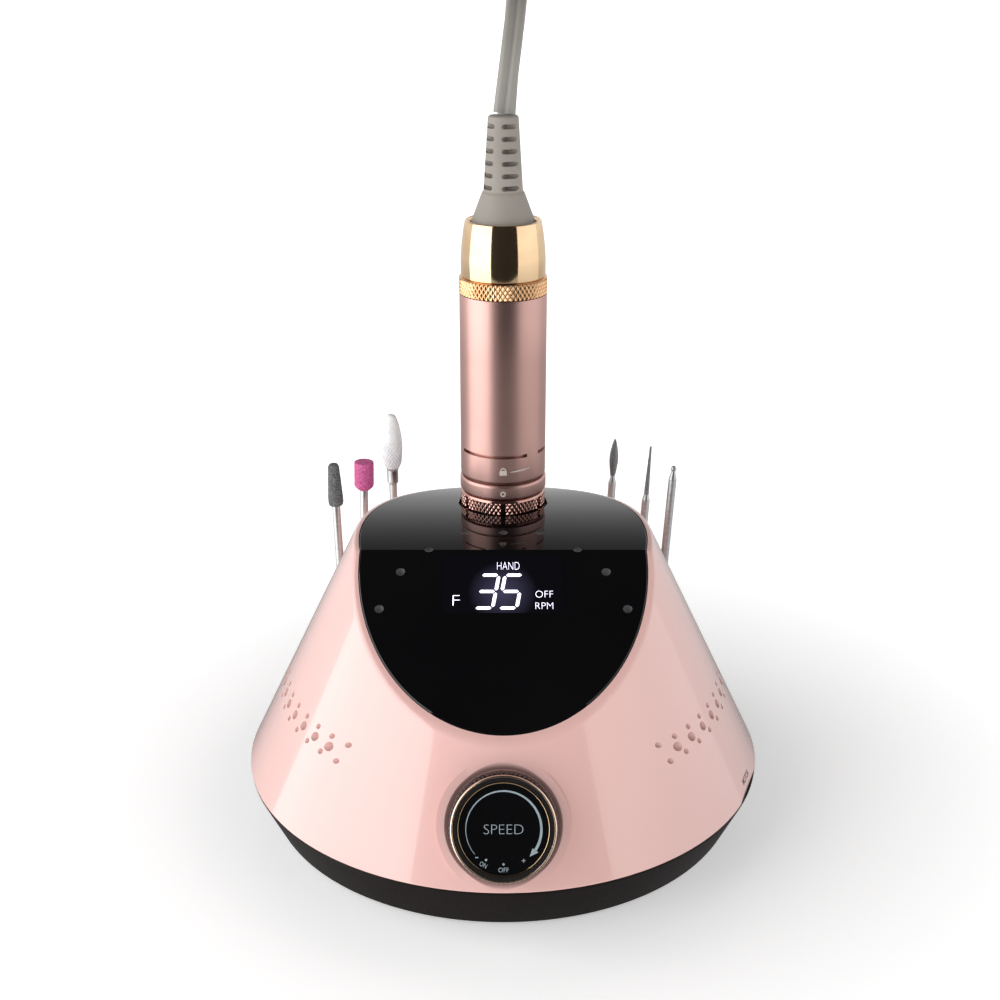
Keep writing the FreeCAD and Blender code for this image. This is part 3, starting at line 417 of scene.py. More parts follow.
def lathe(name, outline, segments=96, shape=None):
    """A closed outline of (radius, height) turned about Z; shape() may move a point in or out."""
    points, rows, faces = [], [], []
    for radius, height in outline:
        if radius < 1e-6:
            rows.append([len(points)])
            points.append((0, 0, height))
            continue
        rows.append(range(len(points), len(points) + segments))
        for i in range(segments):
            angle = TURN * i / segments
            r = radius + (shape(angle, radius, height) if shape else 0)
            points.append((r * math.sin(angle), -r * math.cos(angle), height))
    for row, after in zip(rows, [*rows[1:], rows[0]]):
        if len(row) == 1 and len(after) == 1:
            continue
        for i in range(segments):
            j = (i + 1) % segments
            corners = [row[i % len(row)], row[j % len(row)], after[j % len(after)], after[i % len(after)]]
            unique = list(dict.fromkeys(corners))
            if len(unique) > 2:
                faces.append(unique)
    return from_points(name, points, faces)


def rows_between(low, high, count):
    """Evenly spaced values from low to high, both included."""
    return [low + (high - low) * i / count for i in range(count + 1)]


def block(name, width, length, low, high, edge=0.0, x=0.0, y=0.0):
    """A box centred on (x, y), its edges rounded."""
    made = bmesh.new()
    bmesh.ops.create_cube(made, size=1)
    bmesh.ops.scale(made, vec=(width, length, high - low), verts=made.verts)
    bmesh.ops.translate(made, vec=(x, y, (low + high) / 2), verts=made.verts)
    if edge:
        bmesh.ops.bevel(made, geom=made.edges, offset=edge, segments=3, profile=0.5, affect="EDGES")
    return from_bmesh(name, made)


def flat_shape(name, outline, low, high):
    """A thin plate of the given outline between two heights."""
    count = len(outline)
    points = [(x, y, low) for x, y in outline] + [(x, y, high) for x, y in outline]
    faces = [list(range(count)), list(range(count, 2 * count))]
    faces += [[i, (i + 1) % count, count + (i + 1) % count, count + i] for i in range(count)]
    return from_points(name, points, faces)


def moved(item, matrix):
    item.data.transform(matrix)
    return item


def joined(name, items):
    """Several objects' meshes as one object."""
    together = bmesh.new()
    for item in items:
        together.from_mesh(item.data)
        bpy.data.objects.remove(item)
    return from_bmesh(name, together)


def carve(item, cutters, operation="DIFFERENCE"):
    """Cuts, or adds, solids to an item and keeps the result as its mesh."""
    group = bpy.data.collections.new("cutters")
    for cutter in cutters:
        group.objects.link(cutter)
    change = item.modifiers.new("carve", "BOOLEAN")
    change.operation = operation
    change.solver = "EXACT"
    change.operand_type = "COLLECTION"
    change.collection = group
    bpy.context.view_layer.update()
    evaluated = item.evaluated_get(bpy.context.evaluated_depsgraph_get())
    mesh = bpy.data.meshes.new_from_object(evaluated)
    item.modifiers.clear()
    item.data = mesh
    for cutter in cutters:
        bpy.data.objects.remove(cutter)
    bpy.data.collections.remove(group)
    return item


def shade(item, sharp=30.0, true_normal=None):
    """Smooth shading with sharp edges; true_normal(place, normal) may give a surface's exact normal."""
    mesh = item.data
    mesh.shade_smooth()
    mesh.set_sharp_from_angle(angle=math.radians(sharp))
    if true_normal is None:
        return item
    mesh.update()
    normals = np.array([corner.vector for corner in mesh.corner_normals], float)
    places = np.array([vertex.co for vertex in mesh.vertices], float)
    corner_places = places[np.array([loop.vertex_index for loop in mesh.loops])]
    face_normals = np.zeros_like(normals)
    for face in mesh.polygons:
        face_normals[face.loop_indices] = face.normal
    exact, known = true_normal(corner_places)
    agree = known & (np.einsum("ij,ij->i", exact, face_normals) > math.cos(math.radians(12)))
    normals[agree] = exact[agree]
    mesh.normals_split_custom_set(normals.tolist())
    return item


def settle(item, body, look, place=Matrix(), replaces=(), sharp=30.0, true_normal=None):
    """Puts a finished piece in the frame, in metres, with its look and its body."""
    shade(item, sharp, true_normal)
    item.data.transform(Matrix.Scale(MM, 4) @ place)
    item.data.materials.clear()
    item.data.materials.append(looks[look])
    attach(item, body)
    if replaces:
        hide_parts(*replaces)
    return item


# ---------------------------------------------------------------- cord, first, because of its room

CORD_WIDTH = 5.6
CORD_ROUTE = (
    (0.0, 22.0, 198.0), (1.8, 22.6, 212.0), (4.2, 36.0, 230.0), (4.2, 58.0, 233.0), (3.0, 75.0, 216.0),
    (0.8, 81.5, 188.0), (0.0, 84.5, 152.0), (0.0, 87.0, 112.0), (1.0, 90.0, 72.0), (3.0, 95.0, 38.0),
    (8.0, 101.0, 14.0), (19.0, 111.0, 2.9), (28.5, 128.0, 2.8), (30.8, 146.0, 2.8),
)
TAIL_ROUTE = (
    (-42.6, 152.0, 2.8), (-43.4, 138.0, 3.0), (-46.6, 125.0, 4.2), (-50.4, 113.0, 4.8),
)
COIL_CENTRE = (-6.0, 152.0)
# The coil's turns, each with its radius and the height of its middle: three on the table, two on those.
COIL_TURNS = ((36.6, 2.8), (31.0, 2.8), (25.4, 2.9), (28.2, 7.8), (33.8, 7.9))
TURN_POINTS = 16
# Each turn keeps its radius for this share of its length, then steps to the next one's.
STEADY_SHARE = 0.72
# Where the last half turn comes down: outside the coil, just over the table.
OUTER_RADIUS, OUTER_HEIGHT = 37.2, 3.4


def coil_route():
    """Counter-clockwise turns, stepping in by a cord's width a turn, then up and out again."""
    points = []
    start = math.radians(-8)
    total = len(COIL_TURNS) * TURN_POINTS + TURN_POINTS // 2
    for i in range(1, total):
        along = i / TURN_POINTS
        turn = min(int(along), len(COIL_TURNS) - 1)
        ahead = min(turn + 1, len(COIL_TURNS) - 1)
        share = min(max((along - turn - STEADY_SHARE) / (1 - STEADY_SHARE), 0), 1)
        share = share * share * (3 - 2 * share)
        radius = COIL_TURNS[turn][0] * (1 - share) + COIL_TURNS[ahead][0] * share
        height = COIL_TURNS[turn][1] * (1 - share) + COIL_TURNS[ahead][1] * share
        if along > len(COIL_TURNS):
            down = (along - len(COIL_TURNS)) / 0.5
            down = down * down * (3 - 2 * down)
            radius = radius * (1 - down) + OUTER_RADIUS * down
            height = height * (1 - down * down) + OUTER_HEIGHT * down * down
        angle = start + TURN * along
        x, y = radius * math.cos(angle), radius * math.sin(angle)
        points.append((COIL_CENTRE[0] + x, COIL_CENTRE[1] + y, height))
    return points


def smooth_line(route):
    """Points along the smooth line that a route's points steer."""
    curve = bpy.data.curves.new("route", "CURVE")
    curve.dimensions = "3D"
    curve.resolution_u = 10
    spline = curve.splines.new("NURBS")
    spline.points.add(len(route) - 1)
    for point, place in zip(spline.points, route):
        point.co = (*place, 1.0)
    spline.order_u = 3
    spline.use_endpoint_u = True
    holder = bpy.data.objects.new("route", curve)
    line = [vertex.co.copy() for vertex in bpy.data.meshes.new_from_object(holder).vertices]
    bpy.data.objects.remove(holder)
    return line


def flat_lead(line, width, side_of):
    """A twin lead along a line: two round strands side by side, joined by a thin web."""
    strand = width / 4
    outline = []
    for middle, first in ((strand, -145), (-strand, 35)):
        for i in range(14):
            angle = math.radians(first + 290 * i / 13)
            outline.append((middle + strand * math.cos(angle), strand * math.sin(angle)))
    points, count = [], len(outline)
    for i, place in enumerate(line):
        ahead = (line[min(i + 1, len(line) - 1)] - line[max(i - 1, 0)]).normalized()
        across = side_of(place, ahead)
        across = (across - ahead * across.dot(ahead)).normalized()
        up = ahead.cross(across)
        points += [place + across * a + up * b for a, b in outline]
    faces = []
    for row in range(0, (len(line) - 1) * count, count):
        for i in range(count):
            j = (i + 1) % count
            faces.append([row + i, row + j, row + count + j, row + count + i])
    last = (len(line) - 1) * count
    faces += [list(range(count)), list(range(last, last + count))]
    return from_points("cord", points, faces)


def make_cord():
    """The whole cord: out of the boot, over and down behind, round the coil and into the plug."""
    line = smooth_line([*CORD_ROUTE, *coil_route(), *TAIL_ROUTE[1:]])

    def side_of(place, ahead):
        """Across the strands: side by side out of the boot, turning once, and flat in the coil."""
        lift = min(max((place.z - 20) / 170, 0), 1) if place.y < 100 else 0
        flat = Vector((ahead.y, -ahead.x, 0)) if math.hypot(ahead.x, ahead.y) > 1e-3 else Vector((1, 0, 0))
        if place.y > 100:
            return flat
        wanted = Vector((math.cos(0.25), math.sin(0.25) * 0.4, 0))
        return flat.normalized() * (1 - lift) + wanted * lift

    cord = flat_lead(line, CORD_WIDTH, side_of)
    shade(cord, 60)
    cord.data.transform(Matrix.Scale(MM, 4))
    cord.data.materials.append(looks["cord"])
    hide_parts("cord_lead", "cord_coil", "cord_tail")
    return cord, [place * MM for place in line]


def make_plug():
    """The plug lying beside the coil: a gripped moulding and a nickelled contact."""
    before, end = Vector(TAIL_ROUTE[-2]), Vector(TAIL_ROUTE[-1])
    ahead = Vector((end.x - before.x, end.y - before.y, 0)).normalized()
    place = Matrix.Translation(end) @ ahead.to_track_quat("Z", "Y").to_matrix().to_4x4()
    ribs = [(4.8 if i % 2 else 4.55, 12 + 0.95 * i) for i in range(20)]
    grip = [(0, 0), (2.9, 0), (3.1, 3), (3.4, 10), (4.6, 11), *ribs, (4.3, 32), (0, 32)]
    body = lathe("plug_grip", soften(grip, 0.3, 2), 64)
    settle(body, "unit", "plug", place, ["plug_body"])
    contact = [(1.05, 32.02), (2.75, 32.02), (2.75, 41.2), (2.5, 41.5), (1.05, 41.5)]
    contact = lathe("plug_barrel", soften(contact, 0.2, 2), 64)
    settle(contact, "unit", "nickel", place, ["plug_contact"])
    return body, contact


# ---------------------------------------------------------------- shell and panel

SHELL_STEPS = 384
SHELL_HOLE_RADIUS, PANEL_HOLE_RADIUS = 14.45, 13.2


def shell_turns():
    """Directions round the shell, with one through each end of the panel's crease."""
    turns = [TURN * i / SHELL_STEPS for i in range(SHELL_STEPS)]
    height = float(top_height(CREASE_Y)) - PANEL_PROUD
    crease = math.asin(CREASE_Y / radius_at(height))
    return sorted([*turns, crease % TURN, (math.pi - crease) % TURN])


def shell_outline(turn):
    """The shell's closed section in one direction, from the foot up, over the rim and back inside."""
    corner = rim_point(turn, PANEL_PROUD, 0)
    edge = rim_point(turn, PANEL_PROUD, PANEL_INSET - 0.05)
    seat = rim_point(turn, PANEL_THICKNESS, PANEL_INSET - 0.05)
    direction = np.array([math.cos(turn), math.sin(turn), 0])
    foot = radius_at(FOOT_HEIGHT) * direction + np.array([0, 0, FOOT_HEIGHT])
    down = math.sin(LEAN) * direction - np.array([0, 0, math.cos(LEAN)])
    points = [foot - 0.5 * direction, foot - 0.15 * direction - 0.1 * down, foot - 0.5 * down]
    top = corner + down * 1.2
    points += [points[2] + (top - points[2]) * i / 14 for i in range(1, 14)]
    over = (edge - corner) * 0.62
    for step in range(6):
        t = step / 5
        points.append(top * (1 - t) ** 2 + corner * 2 * t * (1 - t) + (corner + over) * t**2)
    points += [edge, seat]
    hole = np.array([0, HANDPIECE_Y, 0]) + SHELL_HOLE_RADIUS * direction
    inner = rim_point(turn, 4.2, WALL)
    for share in (0.35, 0.7, 1.0):
        place = seat * (1 - share) + hole * share
        place[2] = float(top_height(place[1])) - PANEL_THICKNESS
        points.append(place)
    for share in (0.0, 0.5):
        place = hole * (1 - share) + inner * share
        place[2] = float(top_height(place[1])) - 4.2
        points.append(place)
    bottom = (radius_at(FOOT_HEIGHT) - WALL) * direction + np.array([0, 0, FOOT_HEIGHT])
    points += [inner, inner * 0.5 + bottom * 0.5, bottom]
    return points


def ring_mesh(name, outlines):
    """A closed ring of sections that all have the same number of points."""
    count, steps = len(outlines[0]), len(outlines)
    points = [point for outline in outlines for point in outline]
    faces = []
    for i in range(steps):
        j = (i + 1) % steps
        for k in range(count):
            m = (k + 1) % count
            faces.append([i * count + k, j * count + k, j * count + m, i * count + m])
    return from_points(name, points, faces)


def rod(name, radius, low, high, segments=48):
    """A cylinder on the Z axis between two heights."""
    return lathe(name, [(0, low), (radius, low), (radius, high), (0, high)], segments)


FLAT_AZIMUTH, FLAT_DISTANCE = 70, 74.9
VENT_STEP = 6.13
VENTS = ((1.25, 47.3, 39.0, 8), (0.75, 41.2, 41.7, 9), (0.75, 43.5, 36.8, 8))


# The round sockets: azimuth and height on the shell, the bore's radius and depth, the pin's radius.
SOCKETS = {
    "motor_socket": (110, 27.0, 2.9, 9.6, 0.95),
    "pedal_socket": (150, 24.0, 1.78, 12.0, 0),
    "power_inlet": (170, 24.0, 2.9, 9.6, 0.95),
}
SWITCHES = {"mode": on_shell(190, 26.0), "direction": on_shell(206, 26.0)}


def vent_cutters():
    """Three rows of air holes on each side, all drilled straight in from that side."""
    cutters = []
    for side in (-1, 1):
        for radius, first, height, count in VENTS:
            for i in range(count):
                azimuth = math.radians(side * (first + VENT_STEP * i))
                out = radius_at(height) * math.sin(azimuth)
                forward = -radius_at(height) * math.cos(azimuth)
                hole = rod("vent", radius, -6, 6, 28)
                place = Matrix.Translation((out, forward, height)) @ Matrix.Rotation(math.pi / 2, 4, "Y")
                cutters.append(moved(hole, place))
    return cutters


def cone_normal(places):
    """The exact outward normal of the cone's side, and which places lie on it."""
    radius = np.hypot(places[:, 0], places[:, 1])
    normal = np.stack(
        [places[:, 0] / radius * math.cos(LEAN), places[:, 1] / radius * math.cos(LEAN),
         np.full(len(places), math.sin(LEAN))], axis=1)
    wanted = FOOT_RADIUS - (places[:, 2] - FOOT_HEIGHT) * math.tan(LEAN)
    return normal, np.abs(radius - wanted) < 0.02


def make_shell():
    """The painted shell: its cone with the knob's recess, the holes, the flat and the vents."""
    shell = ring_mesh("shell", [shell_outline(turn) for turn in shell_turns()])
    boss = moved(rod("boss", 17.3, -5.6, -0.6, 96), on_shell(0, KNOB_HEIGHT))
    carve(boss, [rod("below_foot", 90, -30, FOOT_HEIGHT + 0.02, 64)])
    carve(shell, [boss], "UNION")
    recess = [(0, -9), (3.6, -9), (3.6, -2.6), (14.15, -2.6), (14.2, -2.2), (15.2, -0.7), (15.5, -0.35),
              (15.9, -0.1), (16.3, 0.05), (18.0, 4), (18.0, 12), (0, 12)]
    cutters = [moved(lathe("recess", recess, 128), on_shell(0, KNOB_HEIGHT))]
    for azimuth, height, *_ in SOCKETS.values():
        cutters.append(moved(rod("socket_hole", 4.1, -12, 6), on_shell(azimuth, height)))
    for place in SWITCHES.values():
        cutters.append(moved(block("switch_hole", 13.2, 19.2, -14, 6), place))
    flat = block("flat", 80, 20, 10, 24, 0, 0, -(FLAT_DISTANCE + 10))
    cutters.append(moved(flat, Matrix.Rotation(math.radians(FLAT_AZIMUTH), 4, "Z")))
    for bit in BITS:
        cutters.append(moved(rod("bit_hole", 1.6, -40, 2, 32), along_bit(bit)))
    carve(shell, [*cutters, *vent_cutters()])
    return settle(shell, "unit", "shell", Matrix(), ["upper_shell"], 28, cone_normal)


def panel_outline(turn):
    """The panel's closed section in one direction, its heights counted from the panel's surface."""
    edge = rim_point(turn, 0, PANEL_INSET)
    seat = rim_point(turn, PANEL_THICKNESS - 0.02, PANEL_INSET)
    direction = np.array([math.cos(turn), math.sin(turn), 0])
    hole = np.array([0, HANDPIECE_Y, 0]) + PANEL_HOLE_RADIUS * direction
    edge[2] = seat[2] = 0
    lowered = -(PANEL_THICKNESS - 0.02)
    points = [hole + (0, 0, -0.25), hole + 0.25 * direction]
    for share in rows_between(0, 1, 22)[1:]:
        points.append(hole * (1 - share) + (edge - 0.75 * direction) * share)
    points += [edge - 0.32 * direction + (0, 0, -0.06), edge - 0.08 * direction + (0, 0, -0.26),
               edge + (0, 0, -0.6), seat + (0, 0, lowered)]
    points.append(hole + (0, 0, lowered))
    return points


DIMPLES = ((0.0, -1.9), (10.8, -1.9), (20.8, -11.2), (28.5, -17.2), (33.9, -26.8))
DIMPLE_RADIUS, DIMPLE_DEPTH = 1.3, 0.3
# The ball that a dimple is a piece of.
DIMPLE_BALL = (DIMPLE_RADIUS**2 + DIMPLE_DEPTH**2) / (2 * DIMPLE_DEPTH)


def dimple_places():
    """Where each of the nine dimples is, its Z square to the panel."""
    places = []
    for x, y in DIMPLES:
        slope = SLOPE if y < CREASE_Y else -math.asin((y - CROWN_Y) / CROWN_RADIUS)
        for side in (-1, 1) if x else (1,):
            middle = Matrix.Translation((side * x, y, float(top_height(y))))
            places.append(middle @ Matrix.Rotation(slope, 4, "X"))
    return places


def panel_normal(places):
    """The exact normal of the panel's slope and arch, and which places lie on them."""
    y = places[:, 1]
    on_arch = y > CREASE_Y + 1e-4
    lean = np.where(on_arch, -(y - CROWN_Y) / np.sqrt(CROWN_RADIUS**2 - (y - CROWN_Y) ** 2), math.tan(SLOPE))
    normal = np.stack([np.zeros(len(y)), -lean, np.ones(len(y))], axis=1)
    normal /= np.linalg.norm(normal, axis=1, keepdims=True)
    known = (np.abs(places[:, 2] - top_height(y)) < 0.004) & (np.abs(y - CREASE_Y) > 1e-3)
    return normal, known


def make_panel():
    """The black glass panel: one sheet bent at the crease, arched behind it, with nine dimples."""
    panel = ring_mesh("panel", [panel_outline(turn) for turn in shell_turns()])
    flat = bmesh.new()
    flat.from_mesh(panel.data)
    everything = [*flat.verts, *flat.edges, *flat.faces]
    bmesh.ops.bisect_plane(flat, geom=everything, dist=0.001, plane_co=(0, CREASE_Y, 0), plane_no=(0, 1, 0))
    for vertex in flat.verts:
        vertex.co.z += float(top_height(vertex.co.y))
    flat.to_mesh(panel.data)
    flat.free()
    cutters = []
    for place in dimple_places():
        made = bmesh.new()
        bmesh.ops.create_uvsphere(made, u_segments=64, v_segments=64, radius=DIMPLE_BALL)
        lifted = place @ Matrix.Translation((0, 0, DIMPLE_BALL - DIMPLE_DEPTH))
        cutters.append(moved(from_bmesh("dimple", made), lifted))
    carve(panel, cutters)
    settle(panel, "unit", "panel", Matrix(), ["display_panel"], 14, panel_normal)
    make_dimples()


def make_dimples():
    """A thin frosted bowl in each of the nine dimples, a hair over its glass."""
    middle = DIMPLE_BALL - DIMPLE_DEPTH + 0.01
    upper = [(r, middle - math.sqrt(DIMPLE_BALL**2 - r**2)) for r in rows_between(0, 1.2, 8)]
    under = [(r, z - 0.008) for r, z in reversed(upper)]
    bowls = [moved(lathe("bowl", [*upper, *under], 48), place) for place in dimple_places()]
    return settle(joined("panel_dimples", bowls), "unit", "dimple", Matrix(), (), 60)


# ---------------------------------------------------------------- lettering and marks


def lettering(name, words, width, height, weight=0.0, thickness=0.03):
    """Generic words as thin raised print, centred on the origin and fitted to a width and a height."""
    curve = bpy.data.curves.new(name, "FONT")
    curve.body = words
    curve.size = height / 0.7
    curve.offset = weight
    curve.extrude = thickness / 2
    curve.resolution_u = 4
    holder = bpy.data.objects.new(name, curve)
    mesh = bpy.data.meshes.new_from_object(holder)
    bpy.data.objects.remove(holder)
    cleaned = bmesh.new()
    cleaned.from_mesh(mesh)
    bmesh.ops.remove_doubles(cleaned, verts=cleaned.verts, dist=0.0005)
    places = np.array([vertex.co for vertex in cleaned.verts])
    low, high = places.min(axis=0), places.max(axis=0)
    for vertex in cleaned.verts:
        vertex.co.x = (vertex.co.x - (low[0] + high[0]) / 2) * width / (high[0] - low[0])
        vertex.co.y = (vertex.co.y - (low[1] + high[1]) / 2) * height / (high[1] - low[1])
    cleaned.to_mesh(mesh)
    cleaned.free()
    return new_object(name, mesh)


# Which of a digit's seven bars are lit: top, upper right, lower right, bottom, lower left, upper left,
# middle.
DIGITS = {"3": "1111001", "5": "1011011"}
DIGIT_WIDTH, DIGIT_HEIGHT, BAR = 4.9, 10.4, 0.95
DIGIT_SLANT = 0.17


def lit_digit(digit, x, y):
    """The lit bars of one slanted digit as thin plates, each with pointed ends."""
    half_w, half_h, gap, edge = DIGIT_WIDTH / 2, DIGIT_HEIGHT / 2, 0.3, BAR / 2
    across = [(-half_w + gap, 0), (-half_w + gap + edge, edge), (half_w - gap - edge, edge),
              (half_w - gap, 0), (half_w - gap - edge, -edge), (-half_w + gap + edge, -edge)]
    upright = [(0, gap), (edge, gap + edge), (edge, half_h - gap - edge), (0, half_h - gap),
               (-edge, half_h - gap - edge), (-edge, gap + edge)]
    bars = [(across, 0, half_h), (upright, half_w, 0), (upright, half_w, -half_h), (across, 0, -half_h),
            (upright, -half_w, -half_h), (upright, -half_w, 0), (across, 0, 0)]
    made = []
    for lit, (shape, dx, dy) in zip(DIGITS[digit], bars):
        if lit == "1":
            outline = [(x + px + dx + DIGIT_SLANT * (py + dy), y + py + dy) for px, py in shape]
            made.append(flat_shape("bar", outline, 0, 0.03))
    return made


def make_display():
    """What the display shows: a slanted 35 with HAND over it, F on its left, OFF and RPM on its right."""
    stretch = 1 / math.cos(SLOPE)
    words = [
        (lettering("word", "HAND", 6.2, 2.4, -0.09), 1.4, -15.6),
        (lettering("word", "F", 1.9, 3.2, -0.12), -12.9, -24.6),
        (lettering("word", "OFF", 4.8, 2.1, -0.08), 11.25, -23.0),
        (lettering("word", "RPM", 4.8, 2.0, -0.08), 11.2, -26.0),
    ]
    for word, x, y in words:
        moved(word, Matrix.Translation((x, (y - WINDOW_Y) * stretch, 0.015)))
    bars = [*lit_digit("3", -4.5, -2.3 * stretch), *lit_digit("5", 2.1, -2.3 * stretch)]
    lit = joined("display_light", [*[word for word, x, y in words], *bars])
    return settle(lit, "unit", "light", on_slope(out=0.012), (), 20)


def make_window_glow():
    """The faintly lit window that the digits stand in."""
    made, tree, shader, add = new_material("window_glow")
    place = add("ShaderNodeTexCoord").outputs["Object"]
    centre = add("ShaderNodeMapping", Vector=place)
    centre.inputs["Location"].default_value = (0.0002, 0.0225, 0.0)
    flattened = add("ShaderNodeMapping", Vector=centre.outputs["Vector"], Scale=(105.0, 125.0, 0.0))
    ball = tree.nodes.new("ShaderNodeTexGradient")
    ball.gradient_type = "SPHERICAL"
    tree.links.new(flattened.outputs["Vector"], ball.inputs["Vector"])
    ramp = add("ShaderNodeValToRGB", Fac=ball.outputs["Fac"])
    ramp.color_ramp.elements[0].color = (0.0, 0.0, 0.0002, 1)
    ramp.color_ramp.elements[1].color = (0.05, 0.046, 0.09, 1)
    tree.links.new(ramp.outputs["Color"], shader.inputs["Emission Color"])
    shader.inputs["Emission Strength"].default_value = 1.0
    shader.inputs["Base Color"].default_value = (0.003, 0.003, 0.005, 1)
    shader.inputs["Roughness"].default_value = 0.06
    looks["window"] = made
    left, right = -16.75, 16.3
    front, back = ((y - WINDOW_Y) / math.cos(SLOPE) for y in (-27.8, -12.7))
    outline = [(left, front), (right, front), (right, back), (left, back)]
    window = flat_shape("display_window", outline, 0, 0.01)
    return settle(window, "unit", "window", on_slope(), (), 20)


# ---------------------------------------------------------------- base


def make_base():
    """The dark base under the shell, with seats for its four feet and four screws."""
    shell_line = radius_at(FOOT_HEIGHT) - 0.3
    outline = [(0, 1), (69.3, 1), (shell_line, 14.2), (shell_line, 14.9), (shell_line - 2.4, 14.9),
               (66.9, 3.5), (0, 3.5)]
    base = lathe("base", soften(outline, 0.7, 4), 256)
    cutters = []
    for i in range(4):
        for hole, radius, angle in (
            (rod("sink", 2.9, -1, 3.0, 40), 63, math.radians(45 + 90 * i)),
            (rod("seat", 6.05, 0, 1.8, 64), 58, math.radians(90 * i)),
        ):
            place = Matrix.Translation((radius * math.cos(angle), radius * math.sin(angle), 0))
            cutters.append(moved(hole, place))
    carve(base, cutters)
    return settle(base, "unit", "base", Matrix(), ["base_pan"], 30)


# ---------------------------------------------------------------- knob


def fluted(count, depth, low, high):
    """Upright flutes in the knob's side between two heights."""
    def shape(angle, radius, height):
        if radius < 13.9 or not low < height < high:
            return 0
        return -depth * (0.5 - 0.5 * math.cos(count * angle)) ** 2
    return shape


def make_knob():
    """The speed knob: a fluted dark body, a pale edge ring, a fine gold line and a glossy face."""
    place = on_shell(0, KNOB_HEIGHT)
    outline = [(0, 3.25), (0, 5.6), (11.8, 5.6), (11.8, 6.35), (12.0, 6.6), (12.9, 6.72), (12.9, 4.75),
               (13.75, 4.7)]
    outline += [(14.0, z) for z in rows_between(4.45, -1.2, 8)]
    outline += [(13.8, -1.7), (13.6, -1.9), (10.0, -1.9), (10.0, 0.6), (5.4, 0.6), (5.4, -0.8),
                (3.02, -0.8), (3.02, 3.25)]
    body = lathe("knob_core", outline, 576, fluted(72, 0.4, -1.5, 4.5))
    settle(body, "speed_knob", "black_metal", place, ["knob_body"], 35)
    rim = [(12.95, 4.75), (13.5, 4.75), (13.55, 4.85), (13.55, 6.55), (13.45, 6.85), (13.25, 7.0),
           (13.05, 6.98), (12.95, 6.85)]
    settle(lathe("knob_rim", rim, 384), "speed_knob", "rim_gold", place, ["knob_ring"], 35)
    line = soften([(11.5, 5.65), (11.75, 5.65), (11.75, 6.66), (11.5, 6.58)], 0.06, 2)
    inner = lathe("knob_inner_rim", line, 160)
    settle(inner, "speed_knob", "gold", place, ["knob_inner_ring"], 35)
    face = [(0, 5.65), (11.42, 5.65), (11.46, 5.7), (11.46, 6.3), (11.38, 6.4), (0, 6.4)]
    disc = lathe("knob_face", face, 160)
    settle(disc, "speed_knob", "panel", place, ["knob_disc"], 35)


def arc_band(name, radius, start, end, widths, steps=64, low=0.0, high=0.03):
    """A flat curved band, clockwise from start to end (degrees, 0 at the top), its width growing."""
    outer, inner = [], []
    for i in range(steps + 1):
        share = i / steps
        angle = math.radians(start + (end - start) * share)
        half = (widths[0] + (widths[1] - widths[0]) * share) / 2
        outer.append(((radius + half) * math.sin(angle), (radius + half) * math.cos(angle)))
        inner.append(((radius - half) * math.sin(angle), (radius - half) * math.cos(angle)))
    return flat_strip(name, outer, inner, low, high)


def flat_strip(name, left, right, low, high):
    """A thin plate between two rows of points, side by side."""
    count = len(left)
    points = [(*p, low) for p in left] + [(*p, low) for p in right]
    points += [(*p, high) for p in left] + [(*p, high) for p in right]
    faces = []
    for i in range(count - 1):
        a, b, c, e = i, i + 1, count + i + 1, count + i
        faces.append([a, b, c, e])
        faces.append([v + 2 * count for v in (a, b, c, e)])
        faces.append([a, b, b + 2 * count, a + 2 * count])
        faces.append([e, c, c + 2 * count, e + 2 * count])
    for i in (0, count - 1):
        faces.append([i, count + i, 3 * count + i, 2 * count + i])
    return from_points(name, points, faces)


def make_knob_print():
    """The print on the knob's face: the word, a growing arc with an arrow, and its ends' marks."""
    marks = [lettering("word", "SPEED", 10.0, 2.4, -0.08)]
    marks.append(arc_band("arc", 9.55, -131, 124, (0.1, 0.7)))
    tip, foot = math.radians(136), math.radians(123)
    arrow = [(r * math.sin(a), r * math.cos(a)) for r, a in ((8.7, foot), (10.5, foot), (9.45, tip))]
    marks.append(flat_shape("arrow", arrow, 0, 0.03))

    def at(item, angle, radius, turned=0):
        angle = math.radians(angle)
        place = Matrix.Translation((radius * math.sin(angle), radius * math.cos(angle), 0))
        marks.append(moved(item, place @ Matrix.Rotation(math.radians(turned), 4, "Z")))

    at(lettering("word", "ON", 1.9, 1.15), -150, 10.2, -28)
    at(rod("dot", 0.3, 0, 0.03, 24), -150, 8.8)
    at(lettering("word", "OFF", 2.6, 1.15), 180, 10.1)
    at(rod("dot", 0.3, 0, 0.03, 24), 180, 8.7)
    at(lettering("word", "+", 0.95, 0.95), 147, 9.3)
    at(lettering("word", "-", 0.8, 0.25), -136, 9.75)
    printed = joined("knob_print", marks)
    return settle(printed, "speed_knob", "ink", on_shell(0, KNOB_HEIGHT, 6.4), (), 20)


# ---------------------------------------------------------------- handpiece


TUBE_RADIUS, LOCK_RADIUS = 12.5, 12.7


def wave(value):
    """A saw's up and down between 0 in the grooves and 1 on the ridges."""
    return 1 - abs(2 * (value % 1.0) - 1)


def knurl(count, pitch, depth, low, high, smallest, notches=0, notch_depth=0.5, notch_width=0.055):
    """Diamonds cut by two crossing sets of grooves, and a few upright notches."""
    def shape(angle, radius, height):
        if radius < smallest or not low <= height <= high:
            return 0
        around, up = count * angle / TURN, (height - low) / pitch
        change = -depth * (1 - min(wave(around + up), wave(around - up)))
        if notches:
            nearest = (angle * notches / TURN + 0.5) % 1.0 - 0.5
            if abs(nearest) * TURN / notches < notch_width:
                change = -notch_depth
        return change
    return shape


